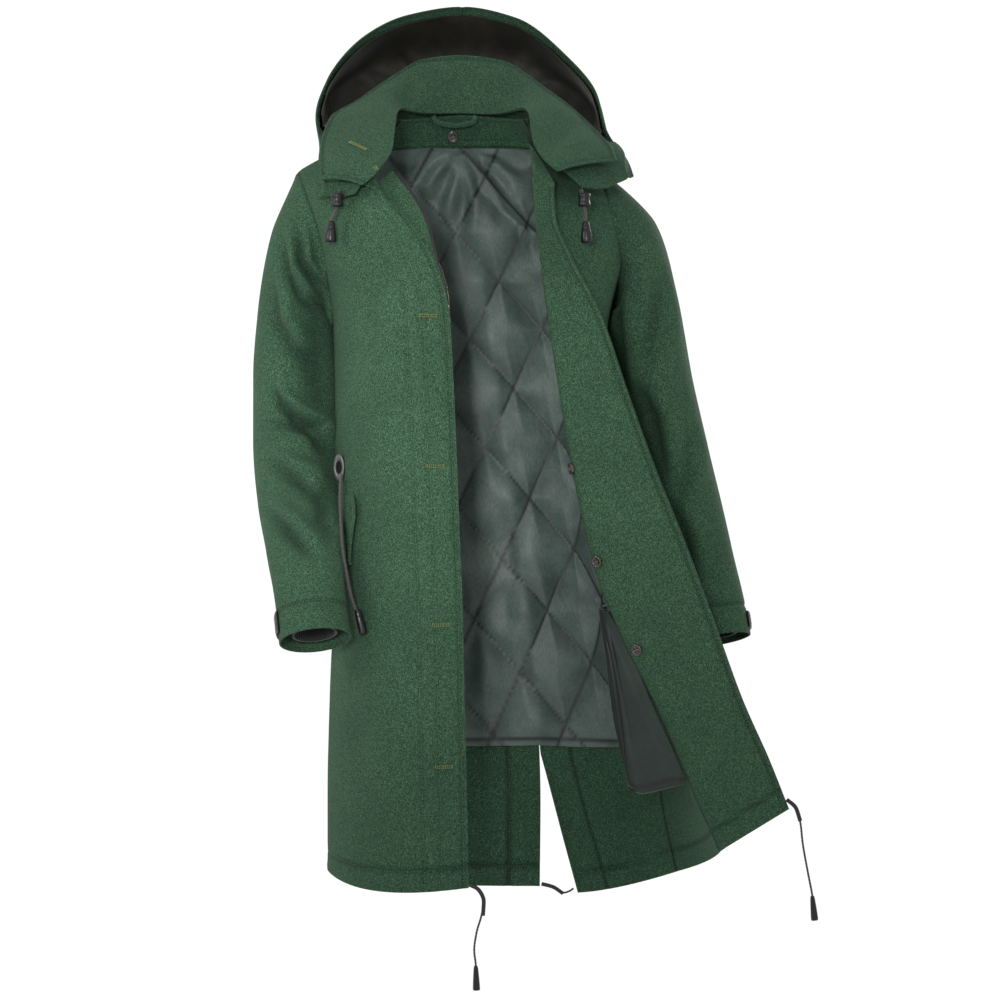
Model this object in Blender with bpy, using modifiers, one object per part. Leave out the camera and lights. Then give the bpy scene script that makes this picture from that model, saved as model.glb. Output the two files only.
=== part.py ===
# Hooded wool parka, open at the front, hollow as worn, with a quilted liner
import bmesh
import bpy
import numpy as np
from math import cos, exp, pi, sin
from mathutils import Matrix, Vector

MM = 0.001

# Cloth thicknesses and seam gaps in millimetres
WOOL = 2.0
FACING = 1.6
LINING = 1.0
LINER = 5.0
LINER_FLAP = 4.0
RIB = 2.2
FLAP = 2.4
TRIM = 1.4
SEAM_GAP = 0.5
LAYER_GAP = 0.4
ARMHOLE_GAP = 1.6
LINER_GAP = 5.6
LINER_CLOSE = 0.66
RIB_GAP = 0.9
NECK_GAP = 0.95
LINING_GAP = 1.8
BAG_GAP = 3.5
SHOULDER_GAP = 1.4
FLAP_GAP = 0.9

# Share of the left front's section that lies before the roll, and the roll itself
ROLL_START = 11 / 20
ROLL_END = 14 / 20
ROLL_REACH = 18.0

# Row where the armhole begins, counted from the hem as a share of the panel
UNDERARM = 6 / 11
YOKE_START = 9.2 / 11

# Roundness of the neck curve in front and behind
NECK_FRONT = 0.7
NECK_BACK = 0.95

# Reach of the neck facing to each side and its lower edge
NECK_HALF = 3 / 8
NECK_LOW = 20 / 22

# Vent at the bottom of the back: its top and how far the left side stands off at the hem
VENT_TOP = 1.49 / 11
VENT_SPREAD = (50.5, 0.0, -9.0)

# Windows of the layers on their panels: first and last u, first and last v
FACING_WINDOW = (12 / 20, 1.0, 0.0, 20 / 22)
ZIP_WINDOW = (0.72, 0.98, 0.02, 0.98)
CUFF_TAB_WINDOW = (0.44, 0.54, 0.925, 0.98)
FLAP_RIGHT_WINDOW = (0.64, 0.96, 0.305, 0.368)
FLAP_LEFT_WINDOW = (0.06, 0.26, 0.305, 0.368)

# Distance kept from a panel's edge and end where its normal is taken
SAFE_EDGE = 0.01
SAFE_END = 0.985
CENTRE_EDGE = 0.03

# Sleeve head: share of the sleeve drawn in to the armhole, and its drop below the seam
SLEEVE_HEAD = 0.11
ARMHOLE_DROP = 0.4
AXIS_STEP = 0.02

# Storm cuff: start and end along the sleeve, its narrowing and how soon it is reached
RIB_START = 0.86
RIB_END = 0.985
RIB_NARROW = 0.66
RIB_DRAW = 1.6
RING_POINTS = 12

# Bow of the collar between its seam and its edge
COLLAR_BOW = (0.0, -5.0, 3.0)

# Hood lining: its start and span round the hood, from rim to neck, and where the bag is deepest
LINING_START = 4 / 24
LINING_SPAN = 16 / 24
LINING_RIM = 0.1
LINING_DEPTH = 0.8
BAG_PLACE = 0.66
BAG_SPREAD = 0.14

# Quilted liner in the back: reach to each side, hem, top, and slope of its top to the sides
LINER_RIGHT = -0.9
LINER_LEFT = 0.88
LINER_HEM = 0.142
LINER_TOP = 0.9
LINER_FLAT = 0.22
LINER_SLOPE = 0.46
LINER_TURN = 0.75
LINER_EASE = 0.45
LINER_CLOSE_FROM = 0.85
LINER_CLOSE_REACH = 0.4

# Places on the facing, neck facing and right front that carry hardware
FACING_BUTTONS = ((0.06, 0.5), (0.16, 0.41), (0.2, 0.28))
BUTTON_SINK = 0.4
NECK_BUTTON = (0.44, 0.3)
NECK_BUTTON_STEP = 0.05
NECK_BUTTON_LIFT = 0.6
EYELET_PLACE = (0.8, 0.393)

# Hardware sizes in millimetres
BUTTON_RADIUS = 7.5
BUTTON_THICK = 3.2
EYELET_RADIUS = 6.0
EYELET_TUBE = 2.4
EYELET_STRETCH = 2.1
STOPPER_RADIUS = 8.0
STOPPER_LENGTH = 17.0
BELL_TOP = 4.0
BELL_BOTTOM = 7.5
BELL_LENGTH = 27.0
CORD_RADIUS = 2.0
THIN_CORD_RADIUS = 1.3
STRAP_RADIUS = 2.6
TAG_TOP = 3.0
TAG_BOTTOM = 4.6
TAG_RIGHT_LENGTH = 31.0
TAG_LEFT_LENGTH = 26.0
TAG_RIGHT_WAY = (0.03, 0.0, -1.0)
TAG_LEFT_WAY = (0.1, 0.0, -1.0)
WAIST_END_TOP = 4.2
WAIST_END_BOTTOM = 5.5
WAIST_END_LENGTH = 31.0
WAIST_END_WAY = (0.25, 0.0, -1.0)
WAIST_END_STEP = (0.6, 0.0, -0.6)
STOPPER_GAP = 1.1
BELL_GAP = 0.9
TAG_GAP = 0.3
TOGGLE_EDGE = 0.7
BUTTON_EDGE = 0.8
BUTTON_SIDES = 24
TOGGLE_SIDES = 16

# Photo the places below were read from: its middle in the coat's frame, the camera's distance,
# and a pixel's size in the plane of the neck, where the back is about 1 m long from neck to hem
PHOTO_MIDDLE = 500
MIDDLE_X = 49.4
MIDDLE_Z = -435.5
CAMERA_AWAY = 4500.0
BACK_LENGTH = 1003.6
BACK_PIXELS = 772
PIXEL = BACK_LENGTH / BACK_PIXELS


# Millimetres of a place in the photo: pixels across and down, and the depth judged for it
def place(across, down, depth):
    pixel = PIXEL * (1 + depth / CAMERA_AWAY)
    x = MIDDLE_X + (across - PHOTO_MIDDLE) * pixel
    z = MIDDLE_Z + (PHOTO_MIDDLE - down) * pixel
    return round(x), round(depth), round(z)


# Rows or rings of photo places in millimetres; a ring's sizes are millimetres already
def placed(rows):
    return [[place(*spot) if isinstance(spot, tuple) else spot for spot in row] for row in rows]


# Right front from hem to shoulder: fly edge, front corner, side or armhole
FRONT_RIGHT_ROWS = placed([
    ((469, 888, -150), (375, 891, -130), (327, 868, 0)),
    ((467, 800, -152), (372, 800, -130), (327, 790, 0)),
    ((465, 700, -152), (371, 700, -130), (329, 695, 0)),
    ((462, 600, -152), (371, 600, -128), (333, 600, 0)),
    ((458, 500, -152), (371, 500, -126), (334, 500, 0)),
    ((454, 400, -152), (369, 400, -126), (334, 400, 0)),
    ((449, 308, -150), (365, 310, -126), (333, 325, 0)),
    ((437, 268, -147), (360, 262, -122), (324, 262, -45)),
    ((420, 237, -141), (352, 225, -110), (315, 224, -50)),
    ((394, 205, -130), (345, 190, -88), (306, 197, -38)),
    ((372, 188, -115), (368, 150, -40), (300, 180, -15)),
    ((361, 184, -105), (394, 118, 5), (297, 170, 8)),
])

# Right back from hem to shoulder: centre seam, back corner, side or armhole
BACK_RIGHT_ROWS = placed([
    ((540, 886, 142), (391, 882, 120), (327, 868, 0)),
    ((541, 800, 142), (390, 800, 120), (327, 790, 0)),
    ((537, 700, 142), (388, 700, 120), (329, 695, 0)),
    ((524, 600, 141), (384, 600, 120), (333, 600, 0)),
    ((512, 500, 140), (380, 500, 120), (334, 500, 0)),
    ((499, 400, 140), (376, 400, 120), (334, 400, 0)),
    ((487, 310, 140), (370, 310, 120), (333, 325, 0)),
    ((481, 262, 138), (362, 262, 118), (322, 262, 62)),
    ((476, 225, 134), (356, 225, 115), (311, 224, 66)),
    ((471, 185, 126), (352, 185, 108), (303, 197, 52)),
    ((466, 145, 112), (368, 150, 68), (299, 180, 30)),
    ((462, 114, 95), (394, 118, 5), (297, 170, 8)),
])

# Left back from hem to shoulder: centre seam, back corner, side or armhole
BACK_LEFT_ROWS = placed([
    ((540, 886, 142), (622, 886, 128), (678, 871, 75)),
    ((541, 800, 142), (608, 805, 136), (664, 800, 80)),
    ((537, 700, 142), (605, 700, 138), (652, 700, 80)),
    ((524, 600, 141), (592, 600, 138), (624, 600, 65)),
    ((512, 500, 140), (583, 500, 135), (610, 500, 48)),
    ((499, 400, 140), (574, 400, 132), (604, 400, 38)),
    ((487, 310, 140), (566, 310, 130), (603, 330, 38)),
    ((481, 262, 138), (560, 262, 125), (615, 262, 75)),
    ((476, 225, 134), (555, 225, 120), (612, 224, 72)),
    ((471, 185, 126), (547, 185, 110), (606, 197, 58)),
    ((466, 145, 112), (548, 150, 72), (600, 182, 35)),
    ((462, 114, 95), (530, 118, 5), (598, 172, 10)),
])

# Left front from hem to shoulder: side or armhole, chest, roll, free edge
FRONT_LEFT_ROWS = placed([
    ((678, 871, 75), (712, 862, 0), (722, 850, -105), (789, 809, -160)),
    ((664, 800, 80), (686, 797, 0), (692, 785, -102), (770, 760, -155)),
    ((652, 700, 80), (664, 707, 8), (660, 715, -98), (743, 700, -150)),
    ((624, 600, 65), (620, 620, -20), (621, 634, -98), (716, 625, -145)),
    ((610, 500, 48), (612, 540, -30), (594, 572, -100), (688, 549, -140)),
    ((604, 400, 38), (612, 440, -50), (569, 470, -104), (654, 465, -136)),
    ((603, 330, 38), (618, 358, -66), (556, 390, -108), (628, 392, -134)),
    ((622, 262, -35), (606, 300, -85), (545, 320, -112), (602, 316, -134)),
    ((616, 226, -42), (594, 250, -92), (536, 258, -114), (573, 258, -134)),
    ((608, 196, -30), (580, 205, -85), (531, 210, -112), (556, 216, -130)),
    ((602, 182, -8), (556, 160, -35), (530, 172, -95), (554, 192, -120)),
    ((598, 172, 10), (530, 118, 5), (529, 142, -50), (555, 180, -110)),
])

# Collar from the right wing round the neck to the left wing: neck seam, outer edge
COLLAR_ROWS = placed([
    ((362, 186, -122), (320, 180, -106)),
    ((379, 170, -116), (320, 150, -62)),
    ((393, 147, -82), (331, 118, 6)),
    ((397, 113, -6), (357, 102, 54)),
    ((404, 109, 45), (390, 79, 95)),
    ((428, 114.2, 76), (424, 60, 120)),
    ((461, 113.7, 90.5), (460, 56, 128)),
    ((495, 114.2, 76), (502, 61, 120)),
    ((520, 109, 45), (540, 85, 95)),
    ((528, 113, -6), (572, 109, 49)),
    ((533, 141, -74), (596, 131, -4)),
    ((545, 160, -110), (612, 150, -58)),
    ((558, 172, -130), (617, 162, -88)),
])

# Hood from the right end over the crown to the left end: rim, crown, bag, neck seam
HOOD_ROWS = placed([
    ((316, 197, -92), (332, 196, -101), (345, 196, -110), (356, 194, -119)),
    ((319, 152, -34), (325, 143, -24), (348, 142, -46), (376, 157, -86)),
    ((316, 113, 42), (317, 126, 74), (342, 139, 70), (386, 117.5, 2)),
    ((328, 78, 104), (320, 104, 152), (345, 158, 166), (396, 113, 58)),
    ((362, 38, 165), (350, 80, 215), (372, 202, 194), (414, 112, 86)),
    ((408, 15, 200), (402, 70, 250), (415, 226, 206), (438, 112, 101)),
    ((462, 7, 212), (462, 65, 262), (462, 236, 210), (462, 112, 106)),
    ((517, 18, 200), (520, 70, 248), (509, 226, 206), (486, 112, 101)),
    ((563, 52, 165), (572, 90, 212), (552, 202, 194), (510, 112, 86)),
    ((596, 92, 105), (602, 113, 150), (580, 160, 166), (528, 113, 58)),
    ((606, 130, 50), (608, 136, 78), (584, 143, 72), (538, 117.5, 2)),
    ((628, 162, -15), (616, 150, -14), (588, 146, -48), (556, 159, -90)),
    ((634, 176, -62), (618, 184, -84), (600, 190, -100), (582, 188, -112)),
])

# Right fly facing from below upward: edge behind the fly, zip edge
FLY_FACING_ROWS = placed([
    ((440, 332, -145), (450, 332, -145)),
    ((430, 290, -142), (446, 290, -142)),
    ((418, 255, -138), (435, 255, -137)),
    ((402, 226, -130), (426, 222, -128)),
    ((384, 206, -114), (414, 198, -112)),
    ((368, 192, -97), (393, 171, -88)),
])

# Left liner front from its hem upward: facing seam, front of fold, fold, return
LINER_FLAP_ROWS = placed([
    ((686.5, 784, -94), (642, 794, -96), (628, 788, -70), (652, 780, -25)),
    ((674, 752, -91), (634, 758, -94), (621, 756, -70), (640, 752, -25)),
    ((657, 715, -89), (627, 716, -92), (614, 716, -68), (630, 712, -25)),
    ((633, 660, -89.5), (614, 660, -90), (606, 660, -66), (612, 655, -25)),
    ((609, 612, -90.5), (602, 610, -84), (599, 608, -62), (604, 605, -25)),
])

# Right sleeve from armhole to cuff: ring centre, half width, half depth
SLEEVE_RIGHT_RINGS = placed([
    ((303, 238, 9), 32, 62, 74),
    ((297, 275, 12), 40, 69, 46),
    ((293, 325, 17), 46, 73, 20),
    ((291, 380, 22), 50, 72, 5),
    ((291, 440, 14), 50, 68, 0),
    ((294, 500, -28), 48, 60, 0),
    ((301, 545, -84), 46, 52, 0),
    ((310, 592, -122), 45, 47, 0),
    ((315, 640, -146), 45, 45, 0),
])

# Left sleeve from armhole to cuff: ring centre, half width, half depth
SLEEVE_LEFT_RINGS = placed([
    ((625, 238, 14), 30, 62, 74),
    ((637, 272, 17), 42, 68, 46),
    ((647, 322, 22), 44, 71, 20),
    ((657, 380, 25), 45, 70, 5),
    ((671, 440, 22), 46, 66, 0),
    ((686, 505, 14), 46, 60, 0),
    ((699, 560, 4), 46, 54, 0),
    ((709, 603, -8), 46, 50, 0),
    ((716, 640, -18), 45, 46, 0),
])

# Routes of the cords and straps
WAIST_CORD_RUN = [place(*spot) for spot in (
    (341, 474, -111),
    (340, 500, -118),
    (342, 544, -124),
    (346, 570, -130),
    (351, 595, -133),
    (357, 613, -134),
)]
HOOD_CORD_RIGHT_RUN = [place(*spot) for spot in (
    (337, 207.5, -116),
    (334, 214, -117),
    (331, 219.5, -117),
)]
HOOD_CORD_LEFT_RUN = [place(*spot) for spot in (
    (584, 207.5, -118),
    (585, 215, -118),
    (586, 221.5, -118),
)]
HEM_STRAP_RIGHT_RUN = [place(*spot) for spot in (
    (469.2, 886, -149),
    (479, 890, -150),
    (484.5, 902, -150),
    (485, 917, -150),
)]
HEM_CORD_RIGHT_RUN = [place(*spot) for spot in (
    (481, 914, -150),
    (476.5, 932, -150),
    (474, 950, -150),
    (475.5, 966, -150),
)]
HEM_STRAP_LEFT_RUN = [place(*spot) for spot in (
    (787.5, 800, -159),
    (796, 808, -160),
    (800.5, 820, -160),
)]
HEM_CORD_LEFT_RUN = [place(*spot) for spot in (
    (800.5, 822, -160),
    (803, 843, -160),
    (807.5, 870, -160),
    (812, 896, -160),
)]
VENT_STRAP_RUN = [place(*spot) for spot in (
    (541.5, 884, 140),
    (553, 887, 140),
    (563, 893.5, 140),
)]
VENT_CORD_RUN = [place(*spot) for spot in (
    (564.5, 893.5, 140),
    (569, 891, 140),
    (573.5, 888, 140),
)]
HANGER_RUN = [place(*spot) for spot in (
    (433, 116, 80),
    (436, 122, 81),
    (455, 125.5, 81),
    (473, 122, 81),
    (476, 116, 80),
)]

# Colours in linear light, roughness and metalness of each material
MATERIALS = {
    "wool": ((0.035, 0.105, 0.052), 0.95, 0.0),
    "quilt": ((0.044, 0.068, 0.062), 0.45, 0.0),
    "satin": ((0.016, 0.016, 0.014), 0.5, 0.0),
    "rib": ((0.012, 0.012, 0.012), 0.9, 0.0),
    "leather": ((0.014, 0.011, 0.012), 0.35, 0.0),
    "cord": ((0.05, 0.045, 0.045), 0.6, 0.0),
    "button": ((0.022, 0.017, 0.019), 0.3, 0.0),
    "eyelet": ((0.09, 0.09, 0.09), 0.45, 0.3),
    "zip": ((0.19, 0.12, 0.10), 0.35, 1.0),
}

for old in list(bpy.data.objects):
    bpy.data.objects.remove(old, do_unlink=True)

parka = bpy.data.collections.new("parka")
bpy.context.scene.collection.children.link(parka)


def material(name, kind):
    colour, roughness, metallic = MATERIALS[kind]
    mat = bpy.data.materials.new(name + "_" + kind)
    mat.use_nodes = True
    shader = mat.node_tree.nodes["Principled BSDF"]
    shader.inputs["Base Color"].default_value = (*colour, 1.0)
    shader.inputs["Roughness"].default_value = roughness
    shader.inputs["Metallic"].default_value = metallic
    return mat


def adopt(obj, kind):
    obj.data.materials.clear()
    obj.data.materials.append(material(obj.name, kind))
    for holder in list(obj.users_collection):
        holder.objects.unlink(obj)
    parka.objects.link(obj)
    return obj


# Even slope at a row: flat where the run turns back, a mean where it goes on
def slope(before, after):
    total = before + after
    mean = 2 * before * after / np.where(np.abs(total) < 1e-9, 1.0, total)
    return np.where(before * after > 0, mean, 0.0)


# Smooth run through the rows of a table, without swinging past them
def along(rows, t):
    rows = np.asarray(rows, float)
    last = len(rows) - 1
    place = min(max(t, 0.0), 1.0) * last
    i = min(int(place), last - 1)
    f = place - i
    step = rows[i + 1] - rows[i]
    s0 = slope(rows[i] - rows[i - 1], step) if i > 0 else step
    s1 = slope(step, rows[i + 2] - rows[i + 1]) if i + 2 <= last else step
    rise = f * f * (3 - 2 * f)
    lead = f * (1 - f) ** 2
    tail = f * f * (f - 1)
    return rows[i] + step * rise + s0 * lead + s1 * tail


def ease(t):
    t = min(max(t, 0.0), 1.0)
    return t * t * (3 - 2 * t)


def bend3(a, b, c, t):
    return a * (1 - t) ** 2 + b * 2 * t * (1 - t) + c * t ** 2


# Half of a front or back: an even curve below, neck curve and straight shoulder above
def half_panel(rows, neck, vent=(0.0, 0.0, 0.0)):
    def surface(u, v):
        edge, mid, side = along(rows, v)
        edge = edge + np.array(vent) * max(0.0, 1 - v / VENT_TOP)
        low = edge * (1 - u) * (1 - 2 * u) + mid * 4 * u * (1 - u) + side * u * (2 * u - 1)
        yoke = ease((v - YOKE_START) / (1 - YOKE_START))
        if u < 0.5:
            corner = np.array([mid[0], mid[1] + neck * (edge[1] - mid[1]), 0.5 * (edge[2] + mid[2])])
            high = bend3(edge, corner, mid, 2 * u)
        else:
            high = mid + (side - mid) * (2 * u - 1)
        return low * (1 - yoke) + high * yoke
    return surface


# Left front: chest from the side to the roll, the roll, then the facing to the free edge
def front_left_surface(u, v):
    side, chest, roll, free = along(FRONT_LEFT_ROWS, v)
    yoke = ease((v - YOKE_START) / (1 - YOKE_START))
    into = chest - roll
    out = free - roll
    a = roll + into * ROLL_REACH / np.linalg.norm(into)
    b = roll + out * ROLL_REACH / np.linalg.norm(out)
    if u < ROLL_START:
        t = u / ROLL_START
        low = bend3(side, chest, a, t)
        if t < 0.5:
            high = side + (chest - side) * 2 * t
        else:
            high = chest + (a - chest) * (2 * t - 1)
        return low * (1 - yoke) + high * yoke
    if u < ROLL_END:
        return bend3(a, roll, b, (u - ROLL_START) / (ROLL_END - ROLL_START))
    return b + (free - b) * (u - ROLL_END) / (1 - ROLL_END)


front_right_surface = half_panel(FRONT_RIGHT_ROWS, NECK_FRONT)
back_right_surface = half_panel(BACK_RIGHT_ROWS, NECK_BACK)
back_left_surface = half_panel(BACK_LEFT_ROWS, NECK_BACK, VENT_SPREAD)


# Whole back from the right side (-1) over the centre (0) to the left side (+1)
def back_surface(s, v):
    if s < 0:
        return back_right_surface(-s, v)
    return back_left_surface(s, v)


def normal_of(surface, u, v, step=0.004):
    du = surface(u + step, v) - surface(u - step, v)
    dv = surface(u, v + step) - surface(u, v - step)
    n = np.cross(du, dv)
    return n / max(np.linalg.norm(n), 1e-9)


# The same surface moved out along its own normal, inside the given window
def layer(surface, window, lift, low_edge=None, high_edge=None):
    u0, u1, v0, v1 = window

    def lifted(u, v):
        uu = u0 + (u1 - u0) * u
        bottom = low_edge(u) if low_edge else v0
        top = high_edge(u) if high_edge else v1
        vv = bottom + (top - bottom) * v
        safe_u = min(max(uu, u0 + SAFE_EDGE), u1 - SAFE_EDGE)
        safe_v = min(max(vv, SAFE_EDGE), SAFE_END)
        return surface(uu, vv) + lift * normal_of(surface, safe_u, safe_v)
    return lifted


# Cloth sheet: a grid laid on the surface, pulled in at its seams and given thickness
def sheet(name, surface, counts, thick, grow, kind, seams="", closed=False):
    nu, nv = counts
    bm = bmesh.new()
    bmesh.ops.create_grid(bm, x_segments=nu, y_segments=nv, size=0.5)
    spots = {}
    for vert in bm.verts:
        i = round((vert.co.x + 0.5) * nu)
        j = round((vert.co.y + 0.5) * nv)
        spots[i, j] = (vert, surface(i / nu, j / nv))
    pulls = {"l": (0, None, 1, 0), "r": (nu, None, -1, 0), "b": (None, 0, 0, 1), "t": (None, nv, 0, -1)}
    moved = {key: place.copy() for key, (vert, place) in spots.items()}
    for mark in seams:
        fix_i, fix_j, di, dj = pulls[mark]
        for (i, j), (vert, place) in spots.items():
            if i == fix_i or j == fix_j:
                way = spots[i + di, j + dj][1] - place
                gap = SHOULDER_GAP if mark == "t" else SEAM_GAP
                moved[i, j] += gap * way / max(np.linalg.norm(way), 1e-9)
    for key, (vert, place) in spots.items():
        vert.co = Vector(moved[key] * MM)
    if closed:
        bmesh.ops.remove_doubles(bm, verts=bm.verts, dist=0.00002)
    mesh = bpy.data.meshes.new(name)
    bm.to_mesh(mesh)
    bm.free()
    obj = bpy.data.objects.new(name, mesh)
    parka.objects.link(obj)
    shell = obj.modifiers.new("cloth", "SOLIDIFY")
    shell.thickness = thick * MM
    shell.offset = grow
    shell.use_even_offset = False
    return adopt(obj, kind)


# Round cord or strap along its route
def cord(name, run, radius, kind):
    curve = bpy.data.curves.new(name, "CURVE")
    curve.dimensions = "3D"
    curve.bevel_depth = radius * MM
    curve.bevel_resolution = 2
    curve.use_fill_caps = True
    count = 4 * (len(run) - 1) + 1
    spline = curve.splines.new("POLY")
    spline.points.add(count - 1)
    for k in range(count):
        x, y, z = along(run, k / (count - 1)) * MM
        spline.points[k].co = (x, y, z, 1.0)
    obj = bpy.data.objects.new(name, curve)
    parka.objects.link(obj)
    return adopt(obj, kind)


# Round toggle, wider or narrower at its lower end, hung from a point along a direction
def toggle(name, top, way, length, upper, lower, kind):
    bpy.ops.mesh.primitive_cone_add(
        vertices=TOGGLE_SIDES, radius1=lower * MM, radius2=upper * MM, depth=length * MM)
    obj = bpy.context.object
    obj.name = name
    way = Vector(way).normalized()
    turn = (-way).to_track_quat("Z", "Y").to_matrix().to_4x4()
    centre = Vector(top) * MM + way * length * MM / 2
    obj.data.transform(Matrix.Translation(centre) @ turn)
    edge = obj.modifiers.new("edge", "BEVEL")
    edge.width = TOGGLE_EDGE * MM
    edge.segments = 2
    return adopt(obj, kind)


# Flat round button standing on a surface
def button(name, base, normal):
    bpy.ops.mesh.primitive_cylinder_add(
        vertices=BUTTON_SIDES, radius=BUTTON_RADIUS * MM, depth=BUTTON_THICK * MM)
    obj = bpy.context.object
    obj.name = name
    normal = Vector(normal).normalized()
    turn = normal.to_track_quat("Z", "Y").to_matrix().to_4x4()
    lift = LAYER_GAP + BUTTON_THICK / 2
    obj.data.transform(Matrix.Translation((Vector(base) + normal * lift) * MM) @ turn)
    edge = obj.modifiers.new("edge", "BEVEL")
    edge.width = BUTTON_EDGE * MM
    edge.segments = 2
    return adopt(obj, "button")


# Body panels in outer wool
sheet("front_right", front_right_surface, (8, 22), WOOL, 1, "wool", "rt")
sheet("back_right", lambda u, v: back_right_surface(1 - u, v), (8, 22), WOOL, 1, "wool", "lrt")
sheet("back_left", back_left_surface, (8, 22), WOOL, 1, "wool", "lrt")
sheet("front_left", front_left_surface, (20, 22), WOOL, 1, "wool", "lt")


# Armhole loop from underarm up the front to the shoulder and down the back
def armhole(front, front_u, back, u):
    if u < 0.5:
        return front(front_u, UNDERARM + (1 - UNDERARM) * 2 * u)
    return back(1.0, UNDERARM + (1 - UNDERARM) * (2 - 2 * u))


# Sleeve: oval rings on a bent axis, drawn in to the armhole at the top
def sleeve(rings, front, front_u, back, outward):
    centres = np.array([ring[0] for ring in rings], float)
    sizes = np.array([ring[1:] for ring in rings], float)

    def surface(u, t):
        u = u % 1.0
        axis = along(centres, t + AXIS_STEP) - along(centres, t - AXIS_STEP)
        axis = axis / np.linalg.norm(axis)
        side = np.array([outward, 0.0, 0.0])
        side = side - axis * np.dot(side, axis)
        side = side / np.linalg.norm(side)
        ahead = np.cross(axis, side) * outward
        half_width, half_depth, tilt = along(sizes, t)
        angle = 2 * pi * u
        ring = along(centres, t) + (axis * tilt - side * half_width) * cos(angle)
        ring = ring + ahead * half_depth * sin(angle)
        hole = armhole(front, front_u, back, u)
        hole = hole + ARMHOLE_GAP * np.array([outward, 0.0, -ARMHOLE_DROP])
        share = ease(t / SLEEVE_HEAD)
        return hole * (1 - share) + ring * share
    return surface


sleeve_right = sleeve(SLEEVE_RIGHT_RINGS, front_right_surface, 1.0, back_right_surface, -1.0)
sleeve_left = sleeve(SLEEVE_LEFT_RINGS, front_left_surface, 0.0, back_left_surface, 1.0)
sheet("sleeve_right", sleeve_right, (16, 18), WOOL, -1, "wool", "", True)
sheet("sleeve_left", sleeve_left, (16, 18), WOOL, 1, "wool", "", True)


# Storm cuff: a rib tube set in the sleeve wall above and drawn in toward the wrist
def rib_cuff(surface):
    def rib(u, t):
        place = RIB_START + (RIB_END - RIB_START) * t
        ring = np.mean([surface(k / RING_POINTS, place) for k in range(RING_POINTS)], axis=0)
        spoke = surface(u, place) - ring
        reach = np.linalg.norm(spoke)
        wall = (reach - WOOL - RIB_GAP) / reach
        share = wall + (RIB_NARROW - wall) * ease(t * RIB_DRAW)
        return ring + spoke * share
    return rib


sheet("rib_cuff_right", rib_cuff(sleeve_right), (16, 3), RIB, -1, "rib", "", True)
sheet("rib_cuff_left", rib_cuff(sleeve_left), (16, 3), RIB, 1, "rib", "", True)


# Cuff tabs: short strap ends wrapped on the outer side of the cuffs
tab_right = layer(sleeve_right, CUFF_TAB_WINDOW, LAYER_GAP)
sheet("cuff_tab_right", tab_right, (4, 3), FLAP, 1, "leather")
tab_left = layer(sleeve_left, CUFF_TAB_WINDOW, -LAYER_GAP)
sheet("cuff_tab_left", tab_left, (4, 3), FLAP, -1, "leather")


# Collar bowed between its neck seam and outer edge
def collar_surface(u, v):
    seam, edge = along(COLLAR_ROWS, u)
    return seam + (edge - seam) * v + np.array(COLLAR_BOW) * sin(pi * v)


sheet("collar", collar_surface, (26, 4), WOOL, 1, "wool")


# Hood halves: from rim over the crown and bag to the neck seam
def hood_surface(s, v):
    return along(along(HOOD_ROWS, s), v)


sheet("hood_right", lambda u, v: hood_surface(0.5 * u, v), (12, 10), WOOL, -1, "wool", "r")
sheet("hood_left", lambda u, v: hood_surface(0.5 + 0.5 * u, v), (12, 10), WOOL, -1, "wool", "l")


# Lining of the hood, standing further off at the bottom of the bag
def hood_inside(u, v):
    s = LINING_START + LINING_SPAN * u
    place = LINING_RIM + LINING_DEPTH * v
    off = WOOL + LINING_GAP + BAG_GAP * exp(-((place - BAG_PLACE) / BAG_SPREAD) ** 2)
    return hood_surface(s, place) - off * normal_of(hood_surface, s, place)


sheet("hood_lining", hood_inside, (16, 8), LINING, -1, "satin")

# Left facing over the inner side of the left front, from the roll to the free edge
facing_surface = layer(front_left_surface, FACING_WINDOW, WOOL + LAYER_GAP)
sheet("facing_left", facing_surface, (8, 20), FACING, 1, "wool")


# Right fly facing and the zip strip on its edge
def fly_facing_surface(u, v):
    inner, edge = along(FLY_FACING_ROWS, v)
    return inner + (edge - inner) * u


sheet("fly_facing_right", fly_facing_surface, (3, 10), FACING, 1, "wool")
zip_surface = layer(fly_facing_surface, ZIP_WINDOW, -LAYER_GAP)
sheet("zip_right", zip_surface, (1, 16), TRIM, -1, "zip")

# Neck facing inside the back neck, with its hanger loop and button
def neck_facing_surface(u, v):
    s = NECK_HALF * (2 * u - 1)
    place = NECK_LOW + (1 - NECK_LOW) * v
    side = -1.0 if s < 0 else 1.0
    half = back_right_surface if s < 0 else back_left_surface
    way = normal_of(half, max(abs(s), CENTRE_EDGE), min(place, SAFE_END)) * -side
    if abs(s) < SAFE_EDGE:
        way = np.array([0.0, 1.0, 0.0])
    return back_surface(s, place) - (WOOL + NECK_GAP) * way


sheet("neck_facing", neck_facing_surface, (6, 2), FACING, 1, "wool")


# Quilted liner inside the back, closer to the wool toward its top
def liner_back_surface(u, v):
    s = LINER_RIGHT + (LINER_LEFT - LINER_RIGHT) * u
    top = LINER_TOP - LINER_SLOPE * max(0.0, abs(s) - LINER_FLAT)
    place = LINER_HEM + (top - LINER_HEM) * v
    inward = np.array([-LINER_TURN * s, -1.0 + LINER_EASE * abs(s), 0.0])
    near_top = ease((v - LINER_CLOSE_FROM) / (1 - LINER_CLOSE_FROM))
    close = 1 - LINER_CLOSE * near_top * max(0.0, 1 - abs(s) / LINER_CLOSE_REACH)
    return back_surface(s, place) + (WOOL + LINER_GAP * close) * inward


sheet("liner_back", liner_back_surface, (14, 14), LINER, 1, "quilt")
sheet("liner_front_left", lambda u, v: along(along(LINER_FLAP_ROWS, v), u), (10, 8), LINER_FLAP, 1, "quilt")

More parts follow.
